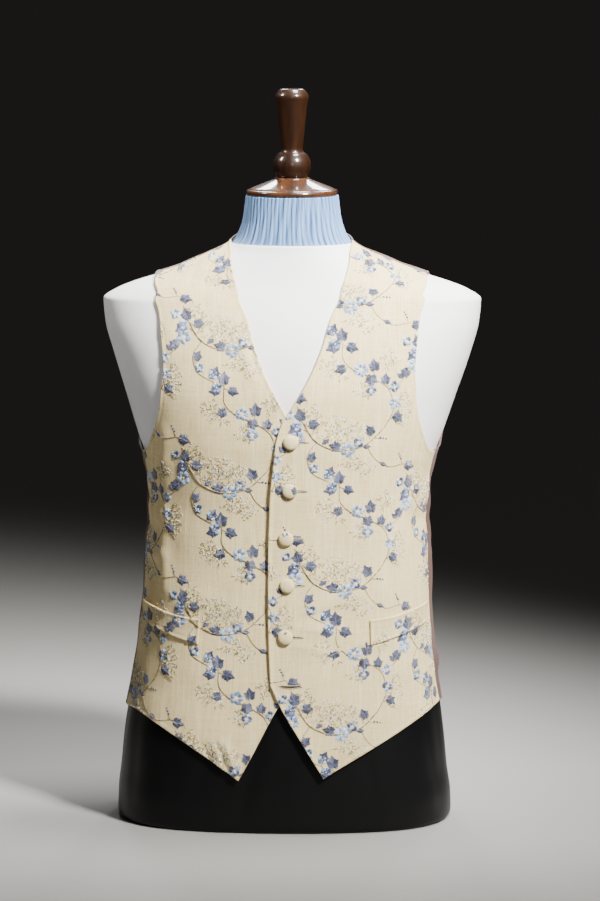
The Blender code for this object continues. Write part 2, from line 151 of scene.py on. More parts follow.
CREASES = (
    ("front_right", 19.6, 98, 14.6, 60, 3.0, -2.8),
    ("front_right", 16.6, 100, 12.6, 62, 3.2, 2.2),
    ("front_right", 24.5, 96, 20.5, 72, 4.0, -1.2),
    ("front_right", 11.6, 540, 9.0, 500, 3.4, -0.7),
    ("front_right", 47.0, 432, 56.0, 338, 11.0, 2.8),
    ("front_right", 57.0, 344, 51.0, 262, 10.0, 2.2),
    ("front_right", 58.0, 366, 79.0, 356, 5.0, -1.3),
    ("front_right", 56.0, 326, 79.0, 328, 5.5, -1.3),
    ("front_right", 66.0, 398, 72.0, 300, 5.5, 1.8),
    ("front_right", 54.0, 300, 79.0, 288, 6.0, 1.2),
    ("front_right", 50.0, 404, 70.0, 398, 7.0, 1.4),
    ("front_right", 57.0, 430, 66.0, 414, 5.0, 1.1),
    ("front_right", 30.0, 258, 44.0, 250, 9.0, 0.8),
    ("front_right", 34.0, 176, 60.0, 168, 12.0, 0.8),
    ("front_left", 6.0, 236, 22.0, 246, 4.0, -0.8),
    ("front_left", 5.0, 226, 20.0, 222, 3.5, 0.7),
    ("front_left", 4.0, 208, 17.0, 198, 4.5, 0.7),
    ("front_left", 5.0, 282, 18.0, 290, 6.0, 0.6),
    ("front_left", 60.0, 338, 75.0, 334, 5.0, -0.9),
    ("front_left", 50.0, 410, 67.0, 401, 7.0, 0.9),
    ("front_left", 32.0, 180, 58.0, 170, 12.0, 0.7),
    ("back_left", 90.0, 334, 124.0, 330, 5.0, -0.8),
    ("back_left", 100.0, 352, 150.0, 350, 6.0, -0.7),
    ("back_left", 86.0, 386, 104.0, 398, 8.0, 1.3),
    ("back_left", 118.0, 540, 128.0, 500, 9.0, 1.3),
    ("back_left", 150.0, 240, 172.0, 170, 16.0, 1.2),
    ("back_left", 84.0, 160, 92.0, 184, 4.0, 1.2),
    ("back_right", 92.0, 328, 126.0, 326, 5.0, -0.8),
    ("back_right", 104.0, 362, 150.0, 356, 6.0, -0.7),
    ("back_right", 84.0, 392, 100.0, 402, 8.0, 1.3),
    ("back_right", 120.0, 530, 127.0, 494, 9.0, 1.3),
    ("back_right", 142.0, 236, 166.0, 160, 16.0, 1.2),
    ("back_left", 86.0, 322, 152.0, 292, 7.0, 1.9),
    ("back_left", 84.0, 296, 126.0, 268, 8.0, 1.8),
    ("back_left", 104.0, 404, 158.0, 426, 8.0, 1.6),
    ("back_left", 152.0, 560, 168.0, 486, 9.0, 1.5),
    ("back_left", 96.0, 276, 140.0, 236, 9.0, 1.5),
    ("back_right", 86.0, 314, 158.0, 300, 7.0, 2.0),
    ("back_right", 85.0, 284, 120.0, 258, 8.0, 1.7),
    ("back_right", 102.0, 412, 150.0, 428, 8.0, 1.6),
    ("back_right", 148.0, 552, 170.0, 470, 9.0, 1.6),
    ("back_right", 98.0, 262, 146.0, 214, 10.0, 1.4),
)

# A pocket welt: turn, lower and upper height (mm), and how far each side's is shifted in turn
WELT = ((31.5, 205.3, 233.2), (41.5, 210.5, 235.2), (53.0, 216.5, 239.5), (68.5, 222.5, 245.5))
WELT_TURN_SHIFT = {"left": 0.9, "right": -0.9}
# Buttons from the top down, and the undone buttonhole below them: across and height in mm
BUTTONS = ((3.3, 429.4), (2.0, 376.8), (-2.3, 324.2), (-1.2, 272.8), (-3.1, 216.3))
UNDONE_HOLE = (-5.3, 163.2)


# Curves and the torso


def smooth_through(where, places, values):
    """Read a monotone cubic curve through the given places and values."""
    places = np.asarray(places, float)
    values = np.asarray(values, float)
    width = np.diff(places)
    rise = np.diff(values) / width
    slope = np.empty_like(values)
    slope[0], slope[-1] = rise[0], rise[-1]
    before = 2 * width[1:] + width[:-1]
    after = width[1:] + 2 * width[:-1]
    steady = rise[1:] * rise[:-1] > 0
    low = np.where(steady, rise[:-1], 1.0)
    high = np.where(steady, rise[1:], 1.0)
    slope[1:-1] = np.where(steady, (before + after) / (before / low + after / high), 0.0)
    span = np.clip(np.searchsorted(places, where, side="right") - 1, 0, len(places) - 2)
    step = width[span]
    part = np.clip((where - places[span]) / step, 0.0, 1.0)
    rest = 1.0 - part
    return (
        (1 + 2 * part) * rest**2 * values[span]
        + part * rest**2 * step * slope[span]
        + part**2 * (3 - 2 * part) * values[span + 1]
        - part**2 * rest * step * slope[span + 1]
    )


def smoothstep(value):
    """Ease from 0 to 1: 3t² − 2t³."""
    part = np.clip(value, 0.0, 1.0)
    return part * part * (3 - 2 * part)


def bump(distance, half_width):
    """A soft ridge across its line: e to the minus (distance over half width) squared."""
    return np.exp(-((distance / half_width) ** 2))


RING_TABLE = np.array(RINGS) * np.array((MM, MM, MM, MM, MM, 1.0))


def torso_point(turn, height):
    """x = sway + half width · (sin t + s sin 3t)/(1 − s), y = −depth · (cos t − s cos 3t)/(1 − s)."""
    angle = np.radians(turn)
    half, ahead, behind, sway, square = (
        smooth_through(height, RING_TABLE[:, 0], RING_TABLE[:, column]) for column in range(1, 6)
    )
    across = (np.sin(angle) + square * np.sin(3 * angle)) / (1 - square)
    facing = (np.cos(angle) - square * np.cos(3 * angle)) / (1 - square)
    depth = np.where(facing > 0, ahead, behind)
    return np.stack([sway + half * across, -depth * facing, height + 0 * angle], axis=-1)


def torso_normal(turn, height):
    """The cross product of small steps round and up the torso, made one long."""
    small_turn, small_height = 0.01, 0.05 * MM
    round_it = torso_point(turn + small_turn, height) - torso_point(turn - small_turn, height)
    up_it = torso_point(turn, height + small_height) - torso_point(turn, height - small_height)
    normal = np.cross(round_it, up_it)
    return normal / np.linalg.norm(normal, axis=-1, keepdims=True)


def off_torso(turn, height, lift):
    """The torso's point plus its normal times the lift."""
    return torso_point(turn, height) + torso_normal(turn, height) * np.asarray(lift)[..., None]


# The cloth laid flat: tables that turn (turn, height) into (across, up) and back

TABLE_HEIGHTS = np.linspace(0.040, 0.650, 306)
TABLE_TURNS = np.linspace(-180, 180, 721)
TABLE_ACROSS = np.linspace(-0.56, 0.56, 1121)
PROFILE_TURN = 35.0


def make_flat_tables():
    """Arc lengths round each height from the centre front, their inverse, and the length up the chest."""
    turn, height = np.meshgrid(TABLE_TURNS, TABLE_HEIGHTS)
    steps = np.linalg.norm(np.diff(torso_point(turn, height), axis=1), axis=-1)
    arc = np.concatenate([np.zeros((len(TABLE_HEIGHTS), 1)), np.cumsum(steps, axis=1)], axis=1)
    arc -= arc[:, [len(TABLE_TURNS) // 2]]
    turn_back = np.array([np.interp(TABLE_ACROSS, row, TABLE_TURNS) for row in arc])
    profile = torso_point(PROFILE_TURN + 0 * TABLE_HEIGHTS, TABLE_HEIGHTS)
    rise = np.linalg.norm(np.diff(profile, axis=0), axis=1)
    return arc, turn_back, np.concatenate([[0.0], np.cumsum(rise)]) + TABLE_HEIGHTS[0]


FLAT_ARC, FLAT_TURN, FLAT_UP = make_flat_tables()


def read_table(table, row, column):
    """Read a table between its rows and columns, straight in both directions."""
    row = np.clip(row, 0, table.shape[0] - 1.001)
    column = np.clip(column, 0, table.shape[1] - 1.001)
    i, j = row.astype(int), column.astype(int)
    a, b = row - i, column - j
    low = table[i, j] * (1 - b) + table[i, j + 1] * b
    high = table[i + 1, j] * (1 - b) + table[i + 1, j + 1] * b
    return low * (1 - a) + high * a


def place_in(values, value):
    """Where a value falls among evenly spaced ones, counted in steps."""
    return (value - values[0]) / (values[1] - values[0])


def flat_from_torso(turn, height):
    """(across, up) of a place on the torso."""
    row = place_in(TABLE_HEIGHTS, height)
    across = read_table(FLAT_ARC, row, place_in(TABLE_TURNS, turn))
    return across, np.interp(height, TABLE_HEIGHTS, FLAT_UP)


def torso_from_flat(across, up):
    """(turn, height) of a place on the flat cloth."""
    height = np.interp(up, FLAT_UP, TABLE_HEIGHTS)
    return read_table(FLAT_TURN, place_in(TABLE_HEIGHTS, height), place_in(TABLE_ACROSS, across)), height


# Panels

# How far in from an edge its first rows of points lie
EDGE_STEPS = np.array((0.0, 0.25, 0.6, 1.1, 1.8, 2.8, 4.2, 6.0)) * MM


def stops_along(length, count, first=True, last=True):
    """Distances along an edge: close together at its ends, and count even steps between."""
    start = EDGE_STEPS if first else EDGE_STEPS[:1]
    end = EDGE_STEPS if last else EDGE_STEPS[:1]
    middle = np.linspace(start[-1], length - end[-1], count + 1)
    return np.concatenate([start[:-1], middle, length - end[:-1][::-1]])


def along_edge(edge, count, first, last):
    """Places along a smooth edge: a monotone cubic through its points, by real length."""
    table = np.array(edge, float) * np.array((1.0, MM))
    corners = torso_point(table[:, 0], table[:, 1])
    reach = np.concatenate([[0], np.cumsum(np.linalg.norm(np.diff(corners, axis=0), axis=1))])
    fine = np.linspace(0, reach[-1], 900)
    turn = smooth_through(fine, reach, table[:, 0])
    height = smooth_through(fine, reach, table[:, 1])
    steps = np.linalg.norm(np.diff(torso_point(turn, height), axis=0), axis=1)
    length = np.concatenate([[0], np.cumsum(steps)])
    stops = stops_along(length[-1], count, first, last)
    return np.stack([np.interp(stops, length, turn), np.interp(stops, length, height)], axis=-1)


def panel_places(bands, columns):
    """Rows run straight, in turn and height, from an inner to an outer edge, denser near both."""
    inner, outer = [], []
    for index, (inner_edge, outer_edge, count) in enumerate(bands):
        first, last = index == 0, index == len(bands) - 1
        skip = 0 if first else 1
        inner.append(along_edge(inner_edge, count, first, last)[skip:])
        outer.append(along_edge(outer_edge, count, first, last)[skip:])
    inner, outer = np.concatenate(inner), np.concatenate(outer)
    share = np.linspace(0, 1, 40)[None, :]
    turn = inner[:, :1] * (1 - share) + outer[:, :1] * share
    height = inner[:, 1:] * (1 - share) + outer[:, 1:] * share
    width = np.linalg.norm(np.diff(torso_point(turn, height), axis=1), axis=-1).sum(axis=1)[:, None]
    near = EDGE_STEPS[None, :-1] / width
    start = EDGE_STEPS[-1] / width
    middle = start + (1 - 2 * start) * np.linspace(0, 1, columns + 1)[None, :]
    share = np.concatenate([near, middle, 1 - near[:, ::-1]], axis=1)
    turn = inner[:, :1] * (1 - share) + outer[:, :1] * share
    height = inner[:, 1:] * (1 - share) + outer[:, 1:] * share
    return turn, height, share


# Rows of points in each band of a panel, from the hem up, and columns between its edges
FRONT_ROWS, FRONT_COLUMNS = (36, 84, 88), 64
BACK_ROWS, BACK_COLUMNS = (60, 50, 34), 66


def front_places(side):
    """A front's places, its hem bowed up by 4·bow·s·(1 − s) between the point and the side seam."""
    bands = (
        (CUTAWAY[side], SIDE_SEAM[side][:2], FRONT_ROWS[0]),
        (FRONT_EDGE[side], SIDE_SEAM[side][1:], FRONT_ROWS[1]),
        (FRONT_EDGE[side][-1:] + V_NECK, FRONT_ARMHOLE, FRONT_ROWS[2]),
    )
    turn, height, share = panel_places(bands, FRONT_COLUMNS)
    lowest = FRONT_ROWS[0] + len(EDGE_STEPS) - 1
    fade = np.clip(1 - np.arange(len(turn)) / lowest, 0, 1)[:, None]
    height = height + fade * HEM_BOW[side] * MM * 4 * share * (1 - share)
    return SIGN[side] * (turn - SEAM_TURN), height


def back_places(side):
    """Half the back's places, from the centre-back seam to the side seam."""
    bands = (
        (((CENTRE_BACK, BACK_HEM), (CENTRE_BACK, CENTRE_BACK_JOIN)), SIDE_SEAM[side], BACK_ROWS[0]),
        (((CENTRE_BACK, CENTRE_BACK_JOIN), BACK_NECK[0]), BACK_ARMHOLE_LOW, BACK_ROWS[1]),
        (BACK_NECK, BACK_ARMHOLE_HIGH, BACK_ROWS[2]),
    )
    turn, height, _ = panel_places(bands, BACK_COLUMNS)
    return SIGN[side] * (turn + SEAM_TURN), height


def rim_of(grid):
    """The points round a grid's edge, in order."""
    return np.concatenate([grid[0, :-1], grid[:-1, -1], grid[-1, :0:-1], grid[:0:-1, 0]])


def nearest(points, targets, chunk=20000):
    """The distance to the nearest target, and which it is: |p|² + |q|² − 2 p·q, block by block."""
    which = np.empty(len(points), int)
    length = (targets**2).sum(axis=1)[None]
    for start in range(0, len(points), chunk):
        block = points[start:start + chunk]
        which[start:start + chunk] = (length - 2 * block @ targets.T).argmin(axis=1)
    return np.linalg.norm(points - targets[which], axis=1), which


def beside_run(place, first_turn, first_height, last_turn, last_height):
    """Share of places along a straight run between two places on the torso, and distance from it."""
    start = torso_point(np.float64(first_turn), np.float64(first_height * MM))
    run = torso_point(np.float64(last_turn), np.float64(last_height * MM)) - start
    part = np.clip(((place - start) @ run) / (run @ run), 0, 1)
    return part, np.linalg.norm(place - start - part[..., None] * run, axis=-1)


def fold_lift(table, panel, side, turn, height):
    """Sum of soft ridges along their runs, lower at both ends of each run."""
    total = np.zeros(np.shape(turn))
    place = torso_point(turn, height)
    for name, turn_0, height_0, turn_1, height_1, half_width, lift in table:
        if name != panel + "_" + side:
            continue
        part, away = beside_run(place, SIGN[side] * turn_0, height_0, SIGN[side] * turn_1, height_1)
        taper = 0.35 + 0.65 * np.sin(math.pi * (0.15 + 0.7 * part))
        total += lift * MM * taper * bump(away, half_width * MM)
    return total


# Long soft waves of the hanging cloth: waves a metre across and up, phase, height in mm
WAVES = (
    (9, 4, 0.3, 0.22), (17, -7, 1.9, 0.16), (6, 15, 4.1, 0.18), (27, 11, 2.6, 0.09), (-13, 23, 5.2, 0.08),
)
# What each panel adds to the phases, so that no two have the same waves
WAVE_START = {"front_left": 0.0, "front_right": 2.2, "back_left": 1.1, "back_right": 3.7}
# How much higher the waves of the satin are than those of the fronts
SATIN_WAVES = 2.0


def drape_waves(panel, turn, height):
    """Sum of sines over the flat cloth, each with its own direction, phase and height."""
    across, up = flat_from_torso(turn, height)
    total = np.zeros(np.shape(turn))
    for wide, tall, phase, amount in WAVES:
        total += amount * MM * np.sin(2 * math.pi * (wide * across + tall * up) + phase + WAVE_START[panel])
    return total


def front_lift(side, turn, height):
    """How far a front's inner face stands off the torso in the solids."""
    lift = fold_lift(FOLDS, "front", side, turn, height)
    lift = lift + HEM_FLARE * smoothstep((HEM_FLARE_TOP - height) / (HEM_FLARE_TOP - HEM_FLARE_FOOT))
    if side == "left":
        across = torso_point(turn, height)[..., 0]
        lap = smoothstep((LAP_END_ACROSS - across) / (LAP_END_ACROSS - LAP_FULL_ACROSS))
        lift = lift + (FRONT_CLOTH + LAP_GAP) * lap
    return lift


def button_turn(across, height):
    """The turn at which the torso is a given distance across."""
    turns = np.linspace(-30, 30, 601)
    return float(np.interp(across, torso_point(turns, height + 0 * turns)[:, 0], turns))


def left_edge_away(turn, height):
    """How far inside the left front's edge a place is, along the cloth at its own height."""
    edge = np.array(CUTAWAY["left"][:-1] + FRONT_EDGE["left"] + V_NECK[:1])
    edge_turn = np.interp(height, edge[:, 1] * MM, edge[:, 0] - SEAM_TURN)
    row = place_in(TABLE_HEIGHTS, height)
    here = read_table(FLAT_ARC, row, place_in(TABLE_TURNS, turn))
    return np.maximum(here - read_table(FLAT_ARC, row, place_in(TABLE_TURNS, edge_turn)), 0)


def front_face(side, turn, height):
    """Lift of a front's outer face: the solid's, with creases, slow waves and a dimple at each button."""
    lift = front_lift(side, turn, height) + FRONT_CLOTH
    lift = lift + fold_lift(CREASES, "front", side, turn, height)
    lift = lift + drape_waves("front_" + side, turn, height)
    if side == "left":
        place = torso_point(turn, height)
        for across, up in BUTTONS:
            seat = torso_point(np.float64(button_turn(across * MM, up * MM)), np.float64(up * MM))
            away = np.linalg.norm(place - seat, axis=-1)
            lift = lift + BUTTON_SWELL * bump(away, SWELL_WIDTH) - BUTTON_DIMPLE * bump(away, DIMPLE_WIDTH)
        lift = lift + LEFT_EDGE_STAND * np.exp(-left_edge_away(turn, height) / (7 * MM)) * smoothstep(
            (LEFT_EDGE_TOP - height) / (20 * MM)
        )
    return lift


def edge_profile(distance, cloth):
    """A turned edge: rounded over its thickness, a little proud, with a shallow channel inside it."""
    inside = np.clip(distance / (1.1 * MM), 0, 1)
    roundness = 0.5 + 0.5 * np.sqrt(np.clip(1 - (1 - inside) ** 2, 0, 1))
    proud = 0.30 * MM * bump(distance - 1.4 * MM, 1.2 * MM)
    proud = proud - 0.22 * MM * bump(distance - 4.6 * MM, 0.9 * MM)
    return cloth * (roundness - 1) + proud, cloth * (1 - roundness)


# Meshes


def fill_mesh(name, points, faces, material):
    """A new mesh object whose faces all have as many corners."""
    return fill_mixed(name, points, [np.asarray(faces)], material)


def fill_mixed(name, points, face_sets, material):
    """A new mesh object from several arrays of faces, each with its own number of corners."""
    mesh = bpy.data.meshes.new(name)
    sizes = np.concatenate([np.full(len(faces), faces.shape[1]) for faces in face_sets])
    corners = np.concatenate([faces.ravel() for faces in face_sets])
    mesh.vertices.add(len(points))
    mesh.vertices.foreach_set("co", np.asarray(points, np.float32).ravel())
    mesh.loops.add(len(corners))
    mesh.loops.foreach_set("vertex_index", corners.astype(np.int32))
    mesh.polygons.add(len(sizes))
    starts = np.concatenate([[0], np.cumsum(sizes)[:-1]])
    mesh.polygons.foreach_set("loop_start", starts.astype(np.int32))
    mesh.polygons.foreach_set("loop_total", sizes.astype(np.int32))
    mesh.update(calc_edges=True)
    mesh.validate()
    mesh.shade_smooth()
    mesh.materials.append(material)
    piece = bpy.data.objects.new(name, mesh)
    bpy.context.collection.objects.link(piece)
    return piece


def add_uv(piece, name, values):
    """Give each corner its point's value in a UV map."""
    mesh = piece.data
    corner = np.empty(len(mesh.loops), dtype=np.int32)
    mesh.loops.foreach_get("vertex_index", corner)
    layer = mesh.uv_layers.new(name=name)
    layer.data.foreach_set("uv", np.asarray(values, np.float32)[corner].ravel())


def add_colour(piece, name, values):
    """Give each point a colour attribute."""
    layer = piece.data.color_attributes.new(name, "FLOAT_COLOR", "POINT")
    layer.data.foreach_set("color", np.asarray(values, np.float32).ravel())


def add_number(piece, name, values):
    """Give each point a number."""
    layer = piece.data.attributes.new(name, "FLOAT", "POINT")
    layer.data.foreach_set("value", np.asarray(values, np.float32).ravel())


def face_outwards(piece):
    """Turn the faces of a closed mesh outwards."""
    shell = bmesh.new()
    shell.from_mesh(piece.data)
    bmesh.ops.recalc_face_normals(shell, faces=shell.faces)
    shell.to_mesh(piece.data)
    shell.free()


def dress(piece, slot, *nodes):
    """Let a piece ride on the one body and stand for its nodes, which are hidden; its slot is not used."""
    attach(piece, "root")
    if nodes:
        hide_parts(*nodes)


def grid_quads(rows, columns, closed=False):
    """Quads between the rows and columns of a grid, whose columns may close into rings."""
    index = np.arange(rows * columns).reshape(rows, columns)
    beside = np.roll(index, -1, axis=1) if closed else index[:, 1:]
    here = index if closed else index[:, :-1]
    return np.stack([here[:-1], beside[:-1], beside[1:], here[1:]], axis=-1).reshape(-1, 4)


def closed_stack(name, rings, material, middles=None):
    """Rings joined from the lowest up, each end closed by a fan to its middle."""
    rows, columns = rings.shape[:2]
    if middles is None:
        middles = rings[[0, -1]].mean(axis=1)
    here = np.arange(columns)
    beside = np.roll(here, 1)
    top = (rows - 1) * columns
    foot = np.stack([here, beside, np.full(columns, rows * columns)], axis=-1)
    crown = np.stack([beside + top, here + top, np.full(columns, rows * columns + 1)], axis=-1)
    points = np.concatenate([rings.reshape(-1, 3), middles])
    piece = fill_mixed(name, points, [grid_quads(rows, columns, closed=True), foot, crown], material)
    face_outwards(piece)
    return piece


def cloth_wall(name, turn, height, face, cloth, material):
    """A closed wall: the outer grid at the face's lift, the inner one a cloth below, and a rim."""
    flat = torso_point(turn, height).reshape(-1, 3)
    distance = nearest(flat, rim_of(torso_point(turn, height)))[0].reshape(turn.shape)
    outer_shape, inner_shape = edge_profile(distance, cloth)
    outer = off_torso(turn, height, face + outer_shape)
    inner = off_torso(turn, height, face - cloth + inner_shape)
    rows, columns = turn.shape
    quads = grid_quads(rows, columns)
    rim = rim_of(np.arange(rows * columns).reshape(rows, columns))
    following = np.roll(rim, -1)
    offset = rows * columns
    sides = np.stack([rim, following, following + offset, rim + offset], axis=-1)
    faces = np.concatenate([quads, quads[:, ::-1] + offset, sides])
    piece = fill_mesh(name, np.concatenate([outer.reshape(-1, 3), inner.reshape(-1, 3)]), faces, material)
    across, up = flat_from_torso(turn, height)
    add_uv(piece, "cloth", np.tile(np.stack([across.ravel(), up.ravel()], axis=-1), (2, 1)))
    face_outwards(piece)
    spread = outer[1:, 1:] - outer[:-1, :-1], outer[1:, :-1] - outer[:-1, 1:]
    area = float(np.linalg.norm(np.cross(*spread), axis=-1).sum() / 2)
    flat_size = (float(across.max() - across.min()), float(up.max() - up.min()))
    return piece, flat_size, area


# Materials


class Graph:
    """A node material, with a short call for each kind of node, which returns its output socket."""

    def __init__(self, name):
        self.material = bpy.data.materials.new(name)
        self.material.use_nodes = True
        self.nodes = self.material.node_tree.nodes
        self.links = self.material.node_tree.links
        self.nodes.clear()
        output = self.nodes.new("ShaderNodeOutputMaterial")
        self.shader = self.nodes.new("ShaderNodeBsdfPrincipled")
        self.links.new(self.shader.outputs["BSDF"], output.inputs["Surface"])

    def shaded(self, inputs):
        """The material, once its shader's inputs are linked or set by their names."""
        for name, value in inputs.items():
            self.set_input(self.shader.inputs[name], value)
        return self.material

    def set_input(self, socket, value):
        """Link a socket or set a constant."""
        if isinstance(value, bpy.types.NodeSocket):
            self.links.new(value, socket)
        else:
            socket.default_value = value

    def uv(self, name):
        """A UV map as a vector."""
        node = self.nodes.new("ShaderNodeUVMap")
        node.uv_map = name
        return node.outputs["UV"]

    def place(self):
        """Object coordinates."""
        return self.nodes.new("ShaderNodeTexCoord").outputs["Object"]

    def attribute(self, name, output="Color"):
        """A named attribute."""
        node = self.nodes.new("ShaderNodeAttribute")
        node.attribute_name = name
        return node.outputs[output]

    def scaled(self, vector, scale, location=(0, 0, 0)):
        """A vector scaled and moved."""
        node = self.nodes.new("ShaderNodeMapping")
        self.links.new(vector, node.inputs["Vector"])
        node.inputs["Scale"].default_value = scale
        node.inputs["Location"].default_value = location
        return node.outputs["Vector"]

    def noise(self, vector, detail=2.0, roughness=0.5, distortion=0.0):
        """Noise from 0 to 1, of one unit of its vector."""
        node = self.nodes.new("ShaderNodeTexNoise")
        self.links.new(vector, node.inputs["Vector"])
        node.inputs["Scale"].default_value = 1.0
        node.inputs["Detail"].default_value = detail
        node.inputs["Roughness"].default_value = roughness
        node.inputs["Distortion"].default_value = distortion
        return node.outputs["Fac"]

    def wave(self, vector, distortion):
        """Bands from 0 to 1 along Y, of one unit of their vector."""
        node = self.nodes.new("ShaderNodeTexWave")
        node.bands_direction = "Y"
        self.links.new(vector, node.inputs["Vector"])
        node.inputs["Scale"].default_value = 1.0
        node.inputs["Distortion"].default_value = distortion
        return node.outputs["Fac"]

    def spread(self, value, low, high, first, last):
        """A value's range low to high carried to first to last, and held there."""
        node = self.nodes.new("ShaderNodeMapRange")
        self.links.new(value, node.inputs["Value"])
        for name, number in (("From Min", low), ("From Max", high), ("To Min", first), ("To Max", last)):
            node.inputs[name].default_value = number
        return node.outputs["Result"]

    def maths(self, operation, first, second):
        """A Math node."""
        node = self.nodes.new("ShaderNodeMath")
        node.operation = operation
        self.set_input(node.inputs[0], first)
        self.set_input(node.inputs[1], second)
        return node.outputs["Value"]

    def mix(self, share, first, second, blend="MIX"):
        """Two colours mixed."""
        node = self.nodes.new("ShaderNodeMix")
        node.data_type = "RGBA"
        node.blend_type = blend
        self.set_input(node.inputs["Factor"], share)
        self.set_input(node.inputs["A"], first)
        self.set_input(node.inputs["B"], second)
        return node.outputs["Result"]

    def bump(self, height, distance, strength):
        """A bumped normal from a height."""
        node = self.nodes.new("ShaderNodeBump")
        self.links.new(height, node.inputs["Height"])
        node.inputs["Distance"].default_value = distance
        node.inputs["Strength"].default_value = strength
        return node.outputs["Normal"]


def rgb(red, green, blue):
    """A colour for a socket."""
    return (red, green, blue, 1.0)


# The ivory weave: its deep and its pale upright threads, its level threads, slubs and slow changes
WEAVE_DEEP, WEAVE_PALE = rgb(0.550, 0.415, 0.195), rgb(0.770, 0.645, 0.350)
WEAVE_LEVEL, WEAVE_SLUB = rgb(0.840, 0.740, 0.448), rgb(0.880, 0.790, 0.500)
WEAVE_SLOW, WEAVE_GRAIN = rgb(0.670, 0.553, 0.308), rgb(0.72, 0.66, 0.55)
SHEEN_TINT = rgb(1.0, 0.93, 0.78)
# Painted shade that darkens a thread between its strands, and painted glints that lighten it here and there
STRAND_SHADE, STRAND_SHINE = rgb(0.42, 0.42, 0.46), rgb(1.30, 1.30, 1.28)
SATIN_DEEP, SATIN_PALE = rgb(0.095, 0.052, 0.041), rgb(0.150, 0.086, 0.069)
# The neck's blue, shaded and lit: painted shade in its folds, painted light on its ridges
NECK_SHADED, NECK_LIT = rgb(0.028, 0.080, 0.230), rgb(0.150, 0.300, 0.560)
WOOD_PORE = rgb(0.012, 0.004, 0.002)
FLOOR_GREY, ROOM_GREY = rgb(0.30, 0.297, 0.292), rgb(0.68, 0.61, 0.60)


def slubbed_cloth(name):
    """Ivory linen and silk: uneven threads both ways, long upright slubs, a fine grain and slow changes."""
    graph = Graph(name)
    cloth = graph.uv("cloth")
    upright = graph.noise(graph.scaled(cloth, (410, 30, 1)), 4.0, 0.75, 1.3)
    level = graph.noise(graph.scaled(cloth, (38, 430, 1), (7, 3, 0)), 4.0, 0.75, 1.1)
    slubs = graph.noise(graph.scaled(cloth, (230, 11, 1), (1, 8, 0)), 3.0, 0.5, 0.8)
    slow = graph.noise(graph.scaled(cloth, (14, 9, 1), (2, 5, 0)), 2.0)
    grain = graph.noise(graph.scaled(cloth, (1500, 1400, 1), (4, 4, 0)), 1.0)
    colour = graph.mix(graph.spread(upright, 0.30, 0.70, 0, 1), WEAVE_DEEP, WEAVE_PALE)
    colour = graph.mix(graph.spread(level, 0.42, 0.72, 0.0, 0.55), colour, WEAVE_LEVEL)
    colour = graph.mix(graph.spread(slubs, 0.52, 0.72, 0.0, 0.5), colour, WEAVE_SLUB)
    colour = graph.mix(graph.spread(slow, 0.3, 0.7, 0.0, 0.3), colour, WEAVE_SLOW)
    colour = graph.mix(graph.spread(grain, 0.25, 0.5, 0.30, 0.0), colour, WEAVE_GRAIN, "MULTIPLY")
    height = graph.maths("ADD", graph.maths("MULTIPLY", upright, 1.4), graph.maths("MULTIPLY", level, 1.3))
    height = graph.maths("ADD", height, graph.maths("MULTIPLY", slubs, 1.0))
    height = graph.maths("ADD", height, graph.maths("MULTIPLY", grain, 0.4))
    return graph.shaded({
        "Base Color": colour, "Normal": graph.bump(height, 0.00020, 0.85), "Roughness": 0.75,
        "Specular IOR Level": 0.18, "Sheen Weight": 0.10, "Sheen Roughness": 0.4, "Sheen Tint": SHEEN_TINT,
    })


def back_satin():
    """Dusty pink-brown satin: fine floats across, a soft gloss drawn out along them."""
    graph = Graph("dusty_satin")
    cloth = graph.uv("cloth")
    floats = graph.noise(graph.scaled(cloth, (60, 2400, 1)), 2.0)
    slow = graph.noise(graph.scaled(cloth, (10, 7, 1)), 2.0)
    colour = graph.mix(graph.spread(slow, 0.3, 0.7, 0, 1), SATIN_DEEP, SATIN_PALE)
    return graph.shaded({
        "Base Color": colour, "Roughness": graph.spread(floats, 0.3, 0.7, 0.36, 0.50),
        "Normal": graph.bump(floats, 0.00005, 0.5), "Anisotropic": 0.5, "Specular IOR Level": 0.4,
        "Sheen Weight": 0.05,
    })


def thread_material(name, roughness):
    """Embroidery thread: its colour is an attribute, and fine strands follow the stitches, with painted
    shade between them and painted glints here and there.
    """
    graph = Graph(name)
    stitch = graph.uv("stitch")
    strands = graph.wave(graph.scaled(stitch, (0, 800, 0)), 1.2)
    glint_spots = graph.noise(graph.scaled(stitch, (260, 2600, 1)), 1.0)
    colour = graph.attribute("thread")
    # Painted shade between the strands, then painted glints here and there
    colour = graph.mix(graph.spread(strands, 0.0, 0.5, 0.45, 0.0), colour, STRAND_SHADE, "MULTIPLY")
    colour = graph.mix(graph.spread(glint_spots, 0.5, 0.75, 0.0, 1.0), colour, STRAND_SHINE, "MULTIPLY")
    return graph.shaded({
        "Base Color": colour, "Normal": graph.bump(strands, 0.00018, 0.9), "Roughness": roughness,
        "Specular IOR Level": 0.6, "Sheen Weight": 0.2, "Anisotropic": 0.5,
    })


def cotton(name, dark, light, roughness, gloss):
    """A plain smooth cotton: close threads and slow changes of tone, on object coordinates."""
    graph = Graph(name)
    place = graph.place()
    slow = graph.noise(graph.scaled(place, (9, 9, 6)), 3.0)
    grain = graph.noise(graph.scaled(place, (1500, 1500, 1500)), 2.0, 0.7)
    colour = graph.mix(graph.spread(slow, 0.3, 0.7, 0, 1), dark, light)
    return graph.shaded({
        "Base Color": colour, "Normal": graph.bump(grain, 0.00012, 0.6), "Roughness": roughness,
        "Specular IOR Level": gloss,
    })


def neck_cotton():
    """Pale blue cotton, with painted shade in the folds of its gathers and painted light on their ridges."""
    graph = Graph("pale_blue_cotton")
    ridge = graph.attribute("ridge", "Fac")
    grain = graph.noise(graph.scaled(graph.place(), (1500, 1500, 1500)), 2.0, 0.7)
    colour = graph.mix(ridge, NECK_SHADED, NECK_LIT)
    return graph.shaded({
        "Base Color": colour, "Normal": graph.bump(grain, 0.0001, 0.5), "Roughness": 0.62,
        "Sheen Weight": 0.2,
    })


